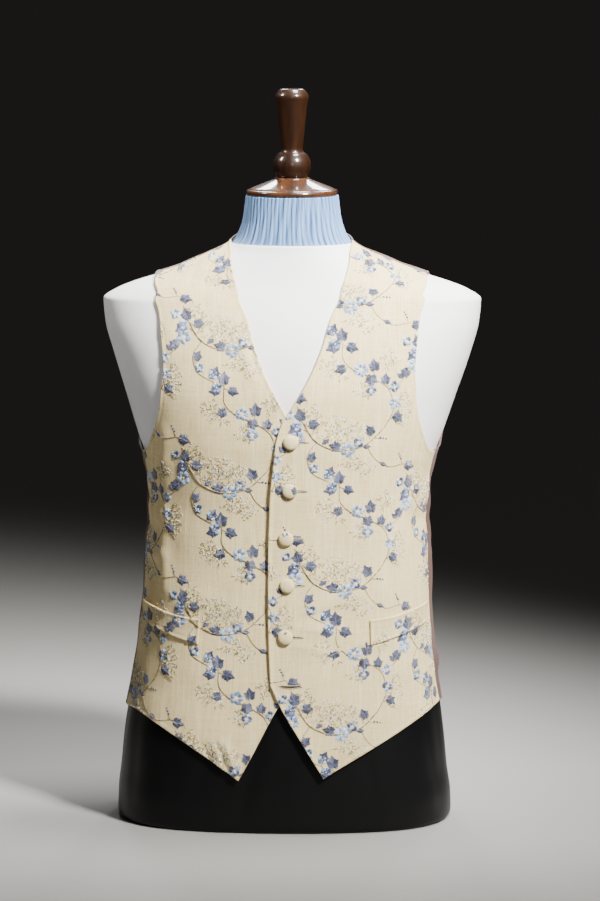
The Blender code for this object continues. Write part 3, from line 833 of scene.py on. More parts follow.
def turned_wood(name, along, dark, light):
    """Dark varnished hardwood, its grain drawn out along one direction under a clear gloss."""
    graph = Graph(name)
    place = graph.place()
    grain = graph.noise(graph.scaled(place, along), 5.0, 0.65)
    pores = graph.noise(graph.scaled(place, tuple(4 * a for a in along), (3, 1, 2)), 2.0)
    colour = graph.mix(graph.spread(grain, 0.34, 0.68, 0, 1), dark, light)
    colour = graph.mix(graph.spread(pores, 0.60, 0.72, 0.0, 0.6), colour, WOOD_PORE)
    return graph.shaded({
        "Base Color": colour, "Normal": graph.bump(pores, 0.00005, 0.25), "Roughness": 0.42,
        "Specular IOR Level": 0.2, "Coat Weight": 1.0, "Coat Roughness": 0.07,
    })


IVORY = slubbed_cloth("slubbed_ivory_cloth")
BUTTON_CLOTH = slubbed_cloth("button_ivory_cloth")
SATIN = back_satin()
THREAD = thread_material("rayon_thread", 0.30)
COVER = cotton("form_cover_cotton", rgb(0.74, 0.74, 0.76), rgb(0.83, 0.83, 0.85), 0.72, 0.25)
BLACK = cotton("black_form_cotton", rgb(0.0012, 0.0012, 0.0014), rgb(0.0030, 0.0030, 0.0033), 0.42, 0.17)
BLUE = neck_cotton()
PLATE_WOOD = turned_wood("cap_varnish", (60, 9, 60), rgb(0.022, 0.0075, 0.003), rgb(0.070, 0.026, 0.009))
FINIAL_WOOD = turned_wood(
    "finial_varnish", (70, 70, 7), rgb(0.0075, 0.0026, 0.0011), rgb(0.027, 0.0098, 0.0033)
)


# The waistcoat's panels

# Each front's turns and heights, once it is made
FRONTS = {}


def make_front(side):
    """A front as a fine wall on its solid's form; the left one's edge stands up a little."""
    turn, height = front_places(side)
    face = front_face(side, turn, height)
    piece, flat_size, area = cloth_wall("waistcoat_front_" + side, turn, height, face, FRONT_CLOTH, IVORY)
    dress(piece, "embroidered_cloth", "front_" + side)
    FRONTS[side] = turn, height
    below = ["waistcoat_form_cover", "waistcoat_front_right"]
    return piece, flat_size, area, below[:1] if side == "right" else below


def make_back(side):
    """Half of the satin back, its creases softer and longer than the fronts'."""
    turn, height = back_places(side)
    face = fold_lift(FOLDS, "back", side, turn, height) + BACK_CLOTH
    face = face + fold_lift(CREASES, "back", side, turn, height)
    face = face + SATIN_WAVES * drape_waves("back_" + side, turn, height)
    piece, flat_size, area = cloth_wall("waistcoat_back_" + side, turn, height, face, BACK_CLOTH, SATIN)
    dress(piece, "back_satin", "back_" + side)
    from_centre = flat_from_torso(180.0 + 0 * turn, height)[0] - np.abs(flat_from_torso(turn, height)[0])
    return piece, (float(np.ptp(from_centre)), flat_size[1]), area, ["waistcoat_form_cover"]


def welt_edges(along):
    """Lower and upper edge of a welt along its turns."""
    table = np.array(WELT)
    return (smooth_through(along, table[:, 0], table[:, column] * MM) for column in (1, 2))


# How far a welt's upper edge stands open, and how much further its outer end rolls off the front
WELT_OPEN = 0.9 * MM
WELT_ROLL = {"left": 0.8 * MM, "right": 2.4 * MM}


def welt_stand(side, share, rise):
    """How far a welt stands off the front: open along its upper edge, most at the outer end."""
    roll = WELT_ROLL[side] * smoothstep((share - 0.70) / 0.30) * smoothstep((rise - 0.3) / 0.7)
    return TRIM_GAP + WELT_OPEN * smoothstep((rise - 0.35) / 0.65) + roll


# A welt's length and height, from which its points are spaced
WELT_SIZE = (98 * MM, 28 * MM)


def welt_shares():
    """Shares along and up a welt, close together near its edges."""
    share = stops_along(WELT_SIZE[0], 44)[None, :] / WELT_SIZE[0]
    rise = stops_along(WELT_SIZE[1], 14)[:, None] / WELT_SIZE[1]
    return share, rise


def welt_places(side):
    """A welt's turns and heights, on the front below it."""
    share, rise = welt_shares()
    along = WELT[0][0] + (WELT[-1][0] - WELT[0][0]) * share
    lower, upper = welt_edges(along)
    turn = SIGN[side] * (along + WELT_TURN_SHIFT[side] + 0 * rise)
    return turn, lower * (1 - rise) + upper * rise


def make_welt(side):
    """A pocket welt: a wall on the front's own face, moved out, with turned edges."""
    turn, height = welt_places(side)
    face = front_face(side, turn, height) + welt_stand(side, *welt_shares()) + WELT_CLOTH
    name = "waistcoat_pocket_welt_" + side
    piece, flat_size, area = cloth_wall(name, turn, height, face, WELT_CLOTH, IVORY)
    dress(piece, "embroidered_cloth", "pocket_welt_" + side)
    return piece, flat_size, area, ["waistcoat_front_" + side]


def make_cloth():
    """Every panel, each made with its flat size and its area."""
    made = [make(side) for make in (make_front, make_back, make_welt) for side in ("right", "left")]


# Embroidery: one sprigged tile, repeated with a half drop. All of its places are in mm on the flat
# cloth, x across and y up. Threads are a tenth of a millimetre or so above the cloth's own surface.

TILE = (126.0, 156.0)
# Each vine: its points, in the order in which it grows
VINES = (
    ((4, 66), (18, 46), (44, 36), (72, 42), (92, 60)),
    ((92, 60), (101, 80), (95, 102), (76, 115)),
    ((76, 115), (58, 122), (45, 135), (44, 152)),
    ((18, 46), (9, 30), (14, 12), (31, 2)),
    ((95, 102), (112, 112), (124, 128)),
    ((72, 42), (82, 26), (98, 16), (116, 18)),
)
# Half the width of each vine, and of the stalks between vines and motifs
VINE_RADII, STALK_RADIUS = (0.80, 0.58, 0.52, 0.44, 0.48, 0.44), 0.34
# A cluster's motifs round its own middle: x, y, heading (degrees), kind, size (mm), shade
CLUSTERS = {
    "trio": (
        (8.0, 0.5, 0, "ivy", 17.1, 0.25), (-2.8, 9.0, 105, "ivy", 16.5, 0.65),
        (-4.0, -8.6, -115, "ivy", 16.0, 0.05), (14.0, 12.0, 40, "floret", 11.6, 0.3),
    ),
    "posy": (
        (0, 0, 0, "flower", 17.1, 0.2), (-12.5, 3.0, 170, "ivy", 15.4, 0.35),
        (10.5, 9.0, 45, "floret", 12.7, 0.3),
    ),
    "pair": ((6.8, 4.4, 30, "floret", 13.2, 0.3), (-1.5, -8.5, -85, "ivy", 15.4, 0.15)),
    "stack": (
        (0, 14.0, 90, "floret", 12.7, 0.6), (0.5, 1.5, 95, "ivy", 17.1, 0.4),
        (-2.5, -11.5, -80, "ivy", 16.5, 0.1), (12.0, -8.5, -30, "flower", 15.4, 0.2),
    ),
    "bud": ((4.5, 3.5, 35, "oval", 10.5, 0.3),),
    "sprig": ((8.0, -2.0, -15, "ivy", 15.4, 0.2), (-2.5, 6.0, 120, "buds", 2.6, 0.1)),
    "tuft": ((3.5, 5.5, 50, "ivy", 14.2, 0.45), (6.5, -6.5, -40, "floret", 12.0, 0.3)),
}
# How far apart the buds of a sprig are
BUD_STEP = 3.3
# Where the clusters sit: vine, share along it, turn off the vine (degrees), hand, cluster
ANCHORS = (
    (0, 0.00, 165, 1, "trio"), (0, 0.28, 25, 1, "bud"), (0, 0.56, -12, 1, "posy"),
    (0, 0.86, 65, -1, "sprig"), (1, 0.30, -35, 1, "pair"), (2, 0.00, 20, 1, "stack"),
    (2, 1.00, 0, 1, "trio"), (3, 1.00, 10, -1, "pair"), (4, 1.00, 0, 1, "posy"),
    (5, 1.00, -10, 1, "sprig"), (5, 0.45, 50, -1, "bud"), (0, 0.70, -60, 1, "bud"),
    (1, 0.72, -95, 1, "tuft"), (2, 0.50, 70, 1, "sprig"), (3, 0.45, 80, 1, "tuft"),
    (4, 0.50, 60, 1, "bud"),
)
# Ferns of small looped stitches: the path that they leave, how many there are, and their steps (mm)
SPRAYS = (
    (((24, 58), (40, 50), (56, 51), (72, 58)), 42, 1.4),
    (((4, 86), (12, 78), (15, 68), (12, 56)), 22, 1.35),
    (((60, 106), (67, 103), (76, 101)), 17, 1.3),
    (((90, 130), (95, 135), (102, 138)), 16, 1.3),
    (((48, 26), (57, 25), (68, 21), (76, 12)), 26, 1.4),
    (((28, 60), (34, 66), (44, 66), (56, 62)), 23, 1.4),
    (((104, 64), (111, 72), (113, 84), (108, 94)), 23, 1.4),
    (((50, 122), (40, 120), (30, 126), (26, 136)), 21, 1.4),
)
# Colours of the threads, and the share of a flower that its cream middle takes
LEAF_DARK, LEAF_LIGHT, LEAF_RIB = (0.020, 0.024, 0.058), (0.200, 0.225, 0.380), (0.30, 0.33, 0.46)
PETAL_DARK, PETAL_LIGHT = (0.020, 0.042, 0.125), (0.330, 0.455, 0.680)
# How much lighter every fourth flower is painted: a painted sheen of glossy thread that lies the other way
PAINTED_PETAL_SHEEN = 0.55
STEM_BROWN, LOOP_GOLD = (0.130, 0.092, 0.042), (0.400, 0.290, 0.085)
STEM_CREAM, LOOP_CREAM = (0.640, 0.520, 0.290), (0.980, 0.950, 0.760)
CENTRE_CREAM, CENTRE_SHARE = (0.820, 0.710, 0.460), 0.40
# How far every thread is raised off the cloth, before its own rise
THREAD_BASE = 0.16 * MM
# Threads further than this outside a panel's outline are dropped before they are cut
NEAR_OUTLINE = 20 * MM
# Points of a thread that crosses the outline are drawn in this far inside it
SNAP_INSIDE = 0.25 * MM


def curve_through(points, count):
    """A Catmull-Rom curve through its points, read at even shares of its length."""
    table = np.array(points, float)
    table = np.concatenate([2 * table[:1] - table[1:2], table, 2 * table[-1:] - table[-2:-1]])
    share = np.linspace(0, len(points) - 1, 40 * len(points))
    span = np.minimum(share.astype(int), len(points) - 2)
    t = (share - span)[:, None]
    a, b, c, d = (table[span + k] for k in range(4))
    path = 0.5 * (2 * b + (c - a) * t + (2 * a - 5 * b + 4 * c - d) * t**2 + (3 * b - a - 3 * c + d) * t**3)
    length = np.concatenate([[0], np.cumsum(np.linalg.norm(np.diff(path, axis=0), axis=1))])
    stops = np.linspace(0, length[-1], count)
    return np.stack([np.interp(stops, length, path[:, k]) for k in (0, 1)], axis=-1)


def along_curve(path, share):
    """Place and heading at a share of a path."""
    where = share * (len(path) - 1)
    low = int(min(where, len(path) - 2))
    step = path[low + 1] - path[low]
    return path[low] + step * (where - low), math.atan2(step[1], step[0])


class Threads:
    """Gathers the points of many motifs: flat places, heights, colours, stitch UVs and faces."""

    def __init__(self):
        self.flat, self.rise, self.colour, self.stitch, self.quads, self.fans = [], [], [], [], [], []
        self.count = 0

    def add(self, flat, rise, colour, stitch, quads, fans=None):
        """Add motifs that share one shape: flat is (motifs, points, 2), and faces are of one motif."""
        motifs, points = flat.shape[:2]
        first = self.count + np.arange(motifs)[:, None, None] * points
        self.flat.append(flat.reshape(-1, 2))
        self.rise.append(np.broadcast_to(rise, (motifs, points)).reshape(-1))
        self.colour.append(np.broadcast_to(colour, (motifs, points, 3)).reshape(-1, 3))
        self.stitch.append(np.broadcast_to(stitch, (motifs, points, 2)).reshape(-1, 2))
        self.quads.append((quads[None] + first).reshape(-1, 4))
        if fans is not None:
            self.fans.append((fans[None] + first).reshape(-1, 3))
        self.count += motifs * points

    def joined(self):
        """All the arrays, each in one."""
        fans = np.concatenate(self.fans) if self.fans else np.zeros((0, 3), int)
        lists = (self.flat, self.rise, self.colour, self.stitch, self.quads)
        return [np.concatenate(values) for values in lists] + [fans]


def polar_faces(rings, spokes):
    """Quads between the rings of a polar grid, and the fan round its middle point, which is last."""
    quads = grid_quads(rings, spokes, closed=True)
    here = np.arange(spokes)
    return quads, np.stack([here, np.roll(here, -1), np.full(spokes, rings * spokes)], axis=-1)[:, ::-1]


def polar_points(rings, outline, angle):
    """The points of a polar grid, its middle last, and the ring that each lies on."""
    reach = rings[:, None] * outline
    local = np.stack([reach * np.cos(angle), reach * np.sin(angle)], axis=-1).reshape(-1, 2)
    return np.concatenate([local, [[0, 0]]]), np.concatenate([np.repeat(rings, len(angle)), [0.0]])


def placed(local, places):
    """Local points scaled, turned and moved to each place: x, y, heading, size."""
    x, y, heading, size = places.T
    turned = np.stack([np.cos(heading), np.sin(heading)], axis=-1) * size[:, None]
    across = local[None, :, 0] * turned[:, :1] - local[None, :, 1] * turned[:, 1:]
    up = local[None, :, 0] * turned[:, 1:] + local[None, :, 1] * turned[:, :1]
    return np.stack([x[:, None] + across, y[:, None] + up], axis=-1)


def leaf_outline(angle, kind):
    """Radius at each angle. Ivy: ragged, with a long peak, side peaks and a round base. Oval: pointed."""
    away = np.abs(angle)
    if kind == "ivy":
        radius = 0.345 + 0.26 * np.exp(-((away / 0.33) ** 1.5)) + 0.028 * np.cos(12 * angle + 0.6)
        for lobe, reach, width in ((1.05, 0.125, 0.26), (2.35, 0.03, 0.40), (3.14, -0.13, 0.30)):
            radius = radius + reach * np.exp(-((np.abs(away - lobe) / width) ** 1.8))
        return radius
    return 0.25 + 0.27 * np.exp(-away / 0.34) + 0.20 * np.exp(-np.abs(away - math.pi) / 0.5)


def add_leaves(threads, kind, places, shades):
    """Raised satin-stitch leaves: a domed polar grid, a sunk midrib, streaks of tone along the spokes, and
    one half painted lighter than the other as light on its slanted stitches.
    """
    spokes = 36 if kind == "ivy" else 24
    angle = np.linspace(-math.pi, math.pi, spokes, endpoint=False)
    local, ring = polar_points(np.array((0.45, 0.84, 1.0)), leaf_outline(angle, kind), angle)
    rise = 0.42 * np.sqrt(np.clip(1 - ring**4, 0, 1)) - 0.30 * (ring == 1.0)
    rise = rise - 0.12 * np.exp(-((local[:, 1] / 0.035) ** 2)) * (ring < 0.95)
    aside = np.abs(local[:, 1])
    slanted = np.stack([aside, local[:, 0] - 0.75 * aside], axis=-1)
    stitch = slanted[None] * places[:, 3:, None]
    chance = np.random.default_rng(spokes + len(places))
    streaks = np.tile(chance.uniform(-0.5, 0.5, (len(places), spokes // 2)).repeat(2, axis=1), (1, 3))
    streaks = streaks + chance.uniform(-0.16, 0.16, streaks.shape)
    streaks = np.concatenate([streaks, np.zeros((len(places), 1))], axis=1)
    # One half painted lighter and the other darker, as light and shade on their slanted stitches, with a
    # tone that changes from lobe to lobe
    lit_half_and_lobe_tone = np.sign(local[:, 1]) * 0.14 + 0.10 * np.cos(5 * np.arctan2(local[:, 1], local[:, 0])) * ring
    tone = np.clip(0.16 + 0.36 * shades[:, None] + 0.85 * streaks + lit_half_and_lobe_tone[None], 0, 1)[..., None]
    dark, light = np.array(LEAF_DARK), np.array(LEAF_LIGHT)
    quads, fans = polar_faces(3, spokes)
    threads.add(placed(local, places), rise * MM, dark + (light - dark) * tone, stitch * MM, quads, fans)
    share = np.linspace(0, 1, 4)[:, None]
    rib = placed(np.array((-0.34, 0.0)) * (1 - share) + np.array((0.34, 0.0)) * share, places)
    add_ropes(threads, rib, 0.17, np.array(LEAF_RIB), lift=0.30)


def add_flowers(threads, places, shades, petals):
    """A ring of domed petals, r = 0.66 + 0.34 |cos(petals angle / 2)|^0.7, with painted shade between them,
    dark by turns when there are four, and streaks of painted highlight.
    """
    spokes = 10 * petals
    angle = np.linspace(-math.pi, math.pi, spokes, endpoint=False) + math.pi / spokes
    wave = np.abs(np.cos(petals * angle / 2))
    local, ring = polar_points(np.array((0.35, 0.44, 0.84, 1.0)), 0.5 * (0.66 + 0.34 * wave**0.7), angle)
    around = np.concatenate([np.tile(angle, 4), [0.0]])
    swell = np.concatenate([np.tile(wave**0.5, 4), [0.0]])
    rise = np.where(ring < CENTRE_SHARE, 0.05, 0.18 + 0.34 * swell) * (ring < 1) - 0.12 * (ring == 1)
    which = np.floor((around + math.pi / petals) / (2 * math.pi / petals)) % petals
    deep = (which % 2) if petals == 4 else 0 * which
    size = places[:, 3:]
    stitch = np.stack([ring[None] * size, around[None] * 0.22 * size], axis=-1)
    dark, light = np.array(PETAL_DARK), np.array(PETAL_LIGHT)
    # Painted shade in the dips between the petals
    gap = 1 - smoothstep((swell - 0.45) / 0.25)
    # Streaks along the spokes: mostly darker tone, a few of painted highlight
    streaks = np.random.default_rng(len(places)).uniform(0, 1, (len(places), spokes // 2)).repeat(2, axis=1)
    streaks = 1.5 * streaks**3 - 0.45
    streaks = np.concatenate([np.tile(streaks, (1, 4)), np.zeros((len(places), 1))], axis=1)
    painted_sheen = PAINTED_PETAL_SHEEN * (np.random.default_rng(len(places) + 1).uniform(0, 1, (len(places), 1)) > 0.75)
    tone = 1.0 - 0.75 * deep - 0.8 * gap - 0.25 * shades[:, None] + streaks + painted_sheen
    colour = dark + (light - dark) * np.clip(tone, 0, 1.6)[..., None]
    colour = np.where(ring[None, :, None] < CENTRE_SHARE, np.array(CENTRE_CREAM), colour)
    quads, fans = polar_faces(4, spokes)
    threads.add(placed(local, places), rise * MM, colour, stitch * MM, quads, fans)
    add_dots(threads, places * np.array((1, 1, 1, 0.17)), np.array(LOOP_CREAM), 0.5)


def add_dots(threads, places, colour, height):
    """Small round knots: a polar grid under a half ellipse."""
    spokes = 12
    angle = np.linspace(-math.pi, math.pi, spokes, endpoint=False)
    local, ring = polar_points(np.array((0.5, 0.85, 1.0)), 0.5, angle)
    rise = height * np.sqrt(np.clip(1 - ring**2, 0, 1)) - 0.1 * (ring == 1)
    stitch = local[None] * places[:, 3:, None]
    quads, fans = polar_faces(3, spokes)
    threads.add(placed(local, places), rise * MM, colour, stitch * MM, quads, fans)


# A rope's section, across and up in shares of its radius: five points, or three for the finest
ROPE_SECTION = np.array(((-1.0, -0.25), (-0.72, 0.62), (0.0, 1.0), (0.72, 0.62), (1.0, -0.25)))
FINE_SECTION = np.array(((-1.0, -0.25), (0.0, 1.0), (1.0, -0.25)))


def add_ropes(threads, paths, radius, colour, lift=0.0, section=ROPE_SECTION, twist=None):
    """Low round ropes along flat paths (ropes, points, 2), tapered at both ends, in one colour or two."""
    ropes, points = paths.shape[:2]
    heading = np.gradient(paths, axis=1)
    heading = heading / np.maximum(np.linalg.norm(heading, axis=-1, keepdims=True), 1e-9)
    sideways = np.stack([-heading[..., 1], heading[..., 0]], axis=-1)
    taper = np.clip(np.minimum(np.arange(points), np.arange(points)[::-1]) / 1.5 + 0.35, 0, 1)
    across = section[None, :, 0] * taper[:, None] * radius
    flat = paths[:, :, None] + sideways[:, :, None] * across[None, :, :, None]
    rise = (lift + section[None, :, 1] * taper[:, None] * radius * 1.1).reshape(-1)
    steps = np.linalg.norm(np.diff(paths, axis=1), axis=-1)
    length = np.concatenate([np.zeros((ropes, 1)), np.cumsum(steps, axis=1)], axis=1)
    slant = length[:, :, None] + 1.2 * across[None]
    stitch = np.stack([np.broadcast_to(across[None], slant.shape), slant], axis=-1).reshape(ropes, -1, 2)
    quads = grid_quads(points, len(section))[:, ::-1]
    if twist is not None:
        share = np.random.default_rng(points).uniform(0, 1, (ropes, points, 1)) ** 1.5
        colour = colour + (twist - colour) * np.repeat(share, len(section), axis=1)
    threads.add(flat.reshape(ropes, -1, 2), rise * MM, colour, stitch * MM, quads)


def add_loops(threads, places, shades):
    """Little looped stitches: a drop-shaped ring of rope, x = (1 − cos t) / 2, y = 0.4 sin t · sin(t/2)."""
    t = np.linspace(0.3, 2 * math.pi - 0.3, 6)
    drop = np.stack([(1 - np.cos(t)) / 2, 0.40 * np.sin(t) * np.sin(t / 2)], axis=-1)
    gold, cream = np.array(LOOP_GOLD), np.array(LOOP_CREAM)
    colour = gold + (cream - gold) * shades[:, None, None]
    add_ropes(threads, placed(drop, places), 0.36, colour, section=FINE_SECTION)


def facing(angle):
    """The flat direction at an angle."""
    return np.array((math.cos(angle), math.sin(angle)))


def motif_places(vines):
    """Every motif of one tile, sorted by kind (x, y, heading, size, shade), and its stalks."""
    kinds = {}
    stalks = []
    for vine, share, off, hand, cluster in ANCHORS:
        root, heading = along_curve(vines[vine], share)
        turn = heading + math.radians(off)
        ahead, aside = facing(turn), np.array((-math.sin(turn), math.cos(turn)))
        for x, y, way, kind, size, shade in CLUSTERS[cluster]:
            middle = root + ahead * x + aside * y * hand
            angle = turn + math.radians(way) * hand
            bend = root + ahead * 0.6 * x + aside * 0.35 * y * hand
            stalks.append(curve_through((root, bend, middle), 7))
            if kind == "buds":
                for number in range(3):
                    spot = middle + facing(angle) * BUD_STEP * number
                    kinds.setdefault(kind, []).append((*spot, angle, size - 0.3 * number, shade))
            else:
                kinds.setdefault(kind, []).append((*middle, angle, size, shade))
    return {kind: np.array(rows) for kind, rows in kinds.items()}, np.array(stalks)


def loop_places():
    """Ferns that leave each spray's path by turns to both sides: bent rows of ever smaller stitches."""
    chance = np.random.default_rng(3)
    steps = np.arange(7)
    places = []
    for points, ferns, step in SPRAYS:
        path = curve_through(points, 60)
        for number in range(ferns):
            root, heading = along_curve(path, (number + chance.uniform(0.2, 0.8)) / ferns)
            hand = 1 if number % 2 else -1
            way = heading + hand * (chance.uniform(0.6, 1.5) + chance.uniform(0.05, 0.32) * steps)
            run = np.cumsum(np.stack([np.cos(way), np.sin(way)], axis=-1) * step, axis=0)
            spot = root + run + chance.normal(0, 0.45, run.shape)
            tone = (chance.uniform(0, 1, len(steps)) > 0.45) * 1.0
            loose = way + chance.normal(0, 1.0, len(steps))
            places.append(np.column_stack([spot, loose, 1.52 - 0.06 * steps, tone]))
    return np.concatenate(places)


def repeated(places, origins):
    """Places of one tile carried to every tile, each with a small chance change of size and heading."""
    chance = np.random.default_rng(len(places) + len(origins))
    total = np.tile(places, (len(origins), 1))
    total[:, :2] += np.repeat(origins, len(places), axis=0)
    total[:, 2] += chance.normal(0, 0.07, len(total))
    total[:, 3] *= chance.normal(1, 0.04, len(total))
    return total


def tiles_over(low, high, offset, size):
    """The numbers of the tiles that cover a stretch, with one to spare."""
    return np.arange(math.floor((low - offset) / size) - 1, math.ceil((high - offset) / size) + 1)


def stitch_everything(low, high, offset):
    """All the threads of the tiles that cover a stretch of flat cloth, from its low to its high corner."""
    columns, rows = (tiles_over(low[k], high[k], offset[k], TILE[k]) for k in (0, 1))
    column, row = (grid.ravel() for grid in np.meshgrid(columns, rows))
    origins = np.stack([column * TILE[0], (row + 0.5 * (column % 2)) * TILE[1]], axis=-1) + np.array(offset)
    vines = [curve_through(points, 80) for points in VINES]
    kinds, stalks = motif_places(vines)
    threads = Threads()
    brown, cream = np.array(STEM_BROWN), np.array(STEM_CREAM)
    for path, radius in zip(vines, VINE_RADII):
        add_ropes(threads, path[None] + origins[:, None], radius, brown, section=FINE_SECTION, twist=cream)
    moved = (stalks[None] + origins[:, None, None]).reshape(-1, *stalks.shape[1:])
    add_ropes(threads, moved, STALK_RADIUS, brown, section=FINE_SECTION, twist=cream)
    loops = repeated(loop_places(), origins)
    add_loops(threads, loops[:, :4], loops[:, 4])
    chance = np.random.default_rng(7)
    for kind, places in kinds.items():
        total = repeated(places, origins)
        shades = np.clip(total[:, 4] + chance.normal(0, 0.14, len(total)), 0, 1)
        if kind in ("ivy", "oval"):
            add_leaves(threads, kind, total[:, :4], shades)
        elif kind in ("flower", "floret"):
            add_flowers(threads, total[:, :4], shades, 5 if kind == "flower" else 4)
        else:
            dark, light = np.array(PETAL_DARK), np.array(PETAL_LIGHT)
            add_dots(threads, total[:, :4], dark + (light - dark) * 0.4 * shades[:, None, None], 0.6)
    return threads.joined()


def inside_of(outline, flat):
    """Distance inside a closed outline, negative outside, and the place just inside its nearest point."""
    ahead, behind = np.roll(outline, -1, axis=0), np.roll(outline, 1, axis=0)
    step = ahead - behind
    area = (outline[:, 0] * ahead[:, 1] - ahead[:, 0] * outline[:, 1]).sum() / 2
    inward = np.stack([-step[:, 1], step[:, 0]], axis=-1) * np.sign(area)
    inward = inward / np.linalg.norm(inward, axis=-1, keepdims=True)
    distance, which = nearest(flat, outline)
    side = ((flat - outline[which]) * inward[which]).sum(axis=-1)
    return distance * np.where(side > 0, 1, -1), outline[which] + inward[which] * SNAP_INSIDE


def even_outline(outline, spacing):
    """A closed outline read at an even spacing."""
    closed = np.concatenate([outline, outline[:1]])
    length = np.concatenate([[0], np.cumsum(np.linalg.norm(np.diff(closed, axis=0), axis=1))])
    stops = np.arange(0, length[-1], spacing)
    return np.stack([np.interp(stops, length, closed[:, k]) for k in (0, 1)], axis=-1)


def keep_used(faces, values):
    """Faces renumbered over only the points that they use, and the values of those points."""
    used = np.unique(np.concatenate([group.ravel() for group in faces]))
    order = np.zeros(len(values[0]), int)
    order[used] = np.arange(len(used))
    return [order[group] for group in faces], [value[used] for value in values]


def thread_piece(name, points, faces, stitch, colour, slot):
    """A mesh of thread, with its stitches as a UV map and its colours as an attribute."""
    piece = fill_mixed(name, points, faces, THREAD)
    add_uv(piece, "stitch", stitch)
    add_colour(piece, "thread", np.concatenate([colour, np.ones((len(colour), 1))], axis=-1))
    dress(piece, slot)


def nowhere(flat, turn, height):
    """No place is kept clear of threads."""
    return np.zeros(len(flat), bool)


def lay_threads(name, threads, outline, lift_of, cloth, banned=nowhere):
    """Cut the threads to an outline and lay them on the cloth, its rounded edge included."""
    flat, rise, colour, stitch, quads, fans = threads
    flat = flat * MM
    low, high = outline.min(axis=0) - NEAR_OUTLINE, outline.max(axis=0) + NEAR_OUTLINE
    near = ((flat > low) & (flat < high)).all(axis=1)
    faces = [group[near[group].all(axis=1)] for group in (quads, fans)]
    faces, (flat, rise, colour, stitch) = keep_used(faces, (flat, rise, colour, stitch))
    depth, snapped = inside_of(outline, flat)
    allowed = ~banned(flat, *torso_from_flat(flat[:, 0], flat[:, 1]))
    inside = (depth > 0) & allowed
    faces = [group[inside[group].any(axis=1) & allowed[group].all(axis=1)] for group in faces]
    flat = np.where((depth > 0)[:, None], flat, snapped)
    faces, (flat, rise, colour, stitch, depth) = keep_used(faces, (flat, rise, colour, stitch, depth))
    turn, height = torso_from_flat(flat[:, 0], flat[:, 1])
    lift = lift_of(turn, height) + edge_profile(np.maximum(depth, 0), cloth)[0]
    points = off_torso(turn, height, lift + THREAD_BASE + rise)
    thread_piece(name, points, faces, stitch, colour, "embroidered_cloth")


def flat_button(across, height):
    """A button's or buttonhole's place on the flat cloth, from its row in mm."""
    turn = button_turn(across * MM, height * MM)
    return np.array(flat_from_torso(np.float64(turn), np.float64(height * MM)))


def flat_outline(turn, height, spacing):
    """A panel's or welt's edge on the flat cloth, read at an even spacing."""
    rim = np.stack(flat_from_torso(rim_of(turn), rim_of(height)), axis=-1)
    return even_outline(rim, spacing)


# Where the tile starts on each front, across and up in mm
EMBROIDERY_OFFSET = {"right": (-112.0, 26.0), "left": (14.0, 74.0)}
# How far threads run under a welt or the other front, and how near a button's middle they come
UNDER_WELT, UNDER_LAP, ROUND_BUTTON = 0.4 * MM, 1.5 * MM, 7.4 * MM
# Below this height nothing lies on the right front's edge
LAP_FOOT = 150 * MM


def embroider(side):
    """Vines over a front, apart from where a welt, a button or the other front lies, and over its welt."""
    outline = flat_outline(*FRONTS[side], 1.2 * MM)
    welt_outline = flat_outline(*welt_places(side), 1.2 * MM)
    low, high = outline.min(axis=0) / MM, outline.max(axis=0) / MM
    threads = stitch_everything(low, high, EMBROIDERY_OFFSET[side])
    buttons = np.array([flat_button(across, height) for across, height in BUTTONS])

    def banned(flat, turn, height):
        """Places under a welt, under the other front or round a button."""
        under_welt = inside_of(welt_outline, flat)[0] > UNDER_WELT
        if side == "right":
            return under_welt | ((left_edge_away(turn, height) > UNDER_LAP) & (height > LAP_FOOT))
        away = np.linalg.norm(flat[:, None] - buttons[None], axis=-1).min(axis=1)
        return under_welt | (away < ROUND_BUTTON)

    def on_front(turn, height):
        """The front's outer face."""
        return front_face(side, turn, height)

    def on_welt(turn, height):
        """The welt's outer face: the front's, with the welt's stand and its own cloth."""
        along = SIGN[side] * turn - WELT_TURN_SHIFT[side]
        lower, upper = welt_edges(along)
        share = (along - WELT[0][0]) / (WELT[-1][0] - WELT[0][0])
        rise = (height - lower) / (upper - lower)
        return front_face(side, turn, height) + welt_stand(side, share, rise) + WELT_CLOTH

    lay_threads("waistcoat_embroidery_" + side, threads, outline, on_front, FRONT_CLOTH, banned)
    lay_threads("waistcoat_welt_embroidery_" + side, threads, welt_outline, on_welt, WELT_CLOTH)


# Buttons and buttonholes

# A buttonhole starts between the edge and its button's middle and runs away from the edge (mm)
HOLE_BEFORE, HOLE_LENGTH, HOLE_HALF_WIDTH = 3.8, 23.0, 1.0
# The undone one gapes, and its slit hangs down in the middle
UNDONE_HALF_WIDTH, UNDONE_SAG = 1.6, 1.1
# The buttonholes' thread, and the painted shade in their slits
HOLE_THREAD, HOLE_SHADE = (0.58, 0.46, 0.27), (0.020, 0.012, 0.007)


def on_left_front(turn, height):
    """The left front's outer face."""
    return front_face("left", turn, height)


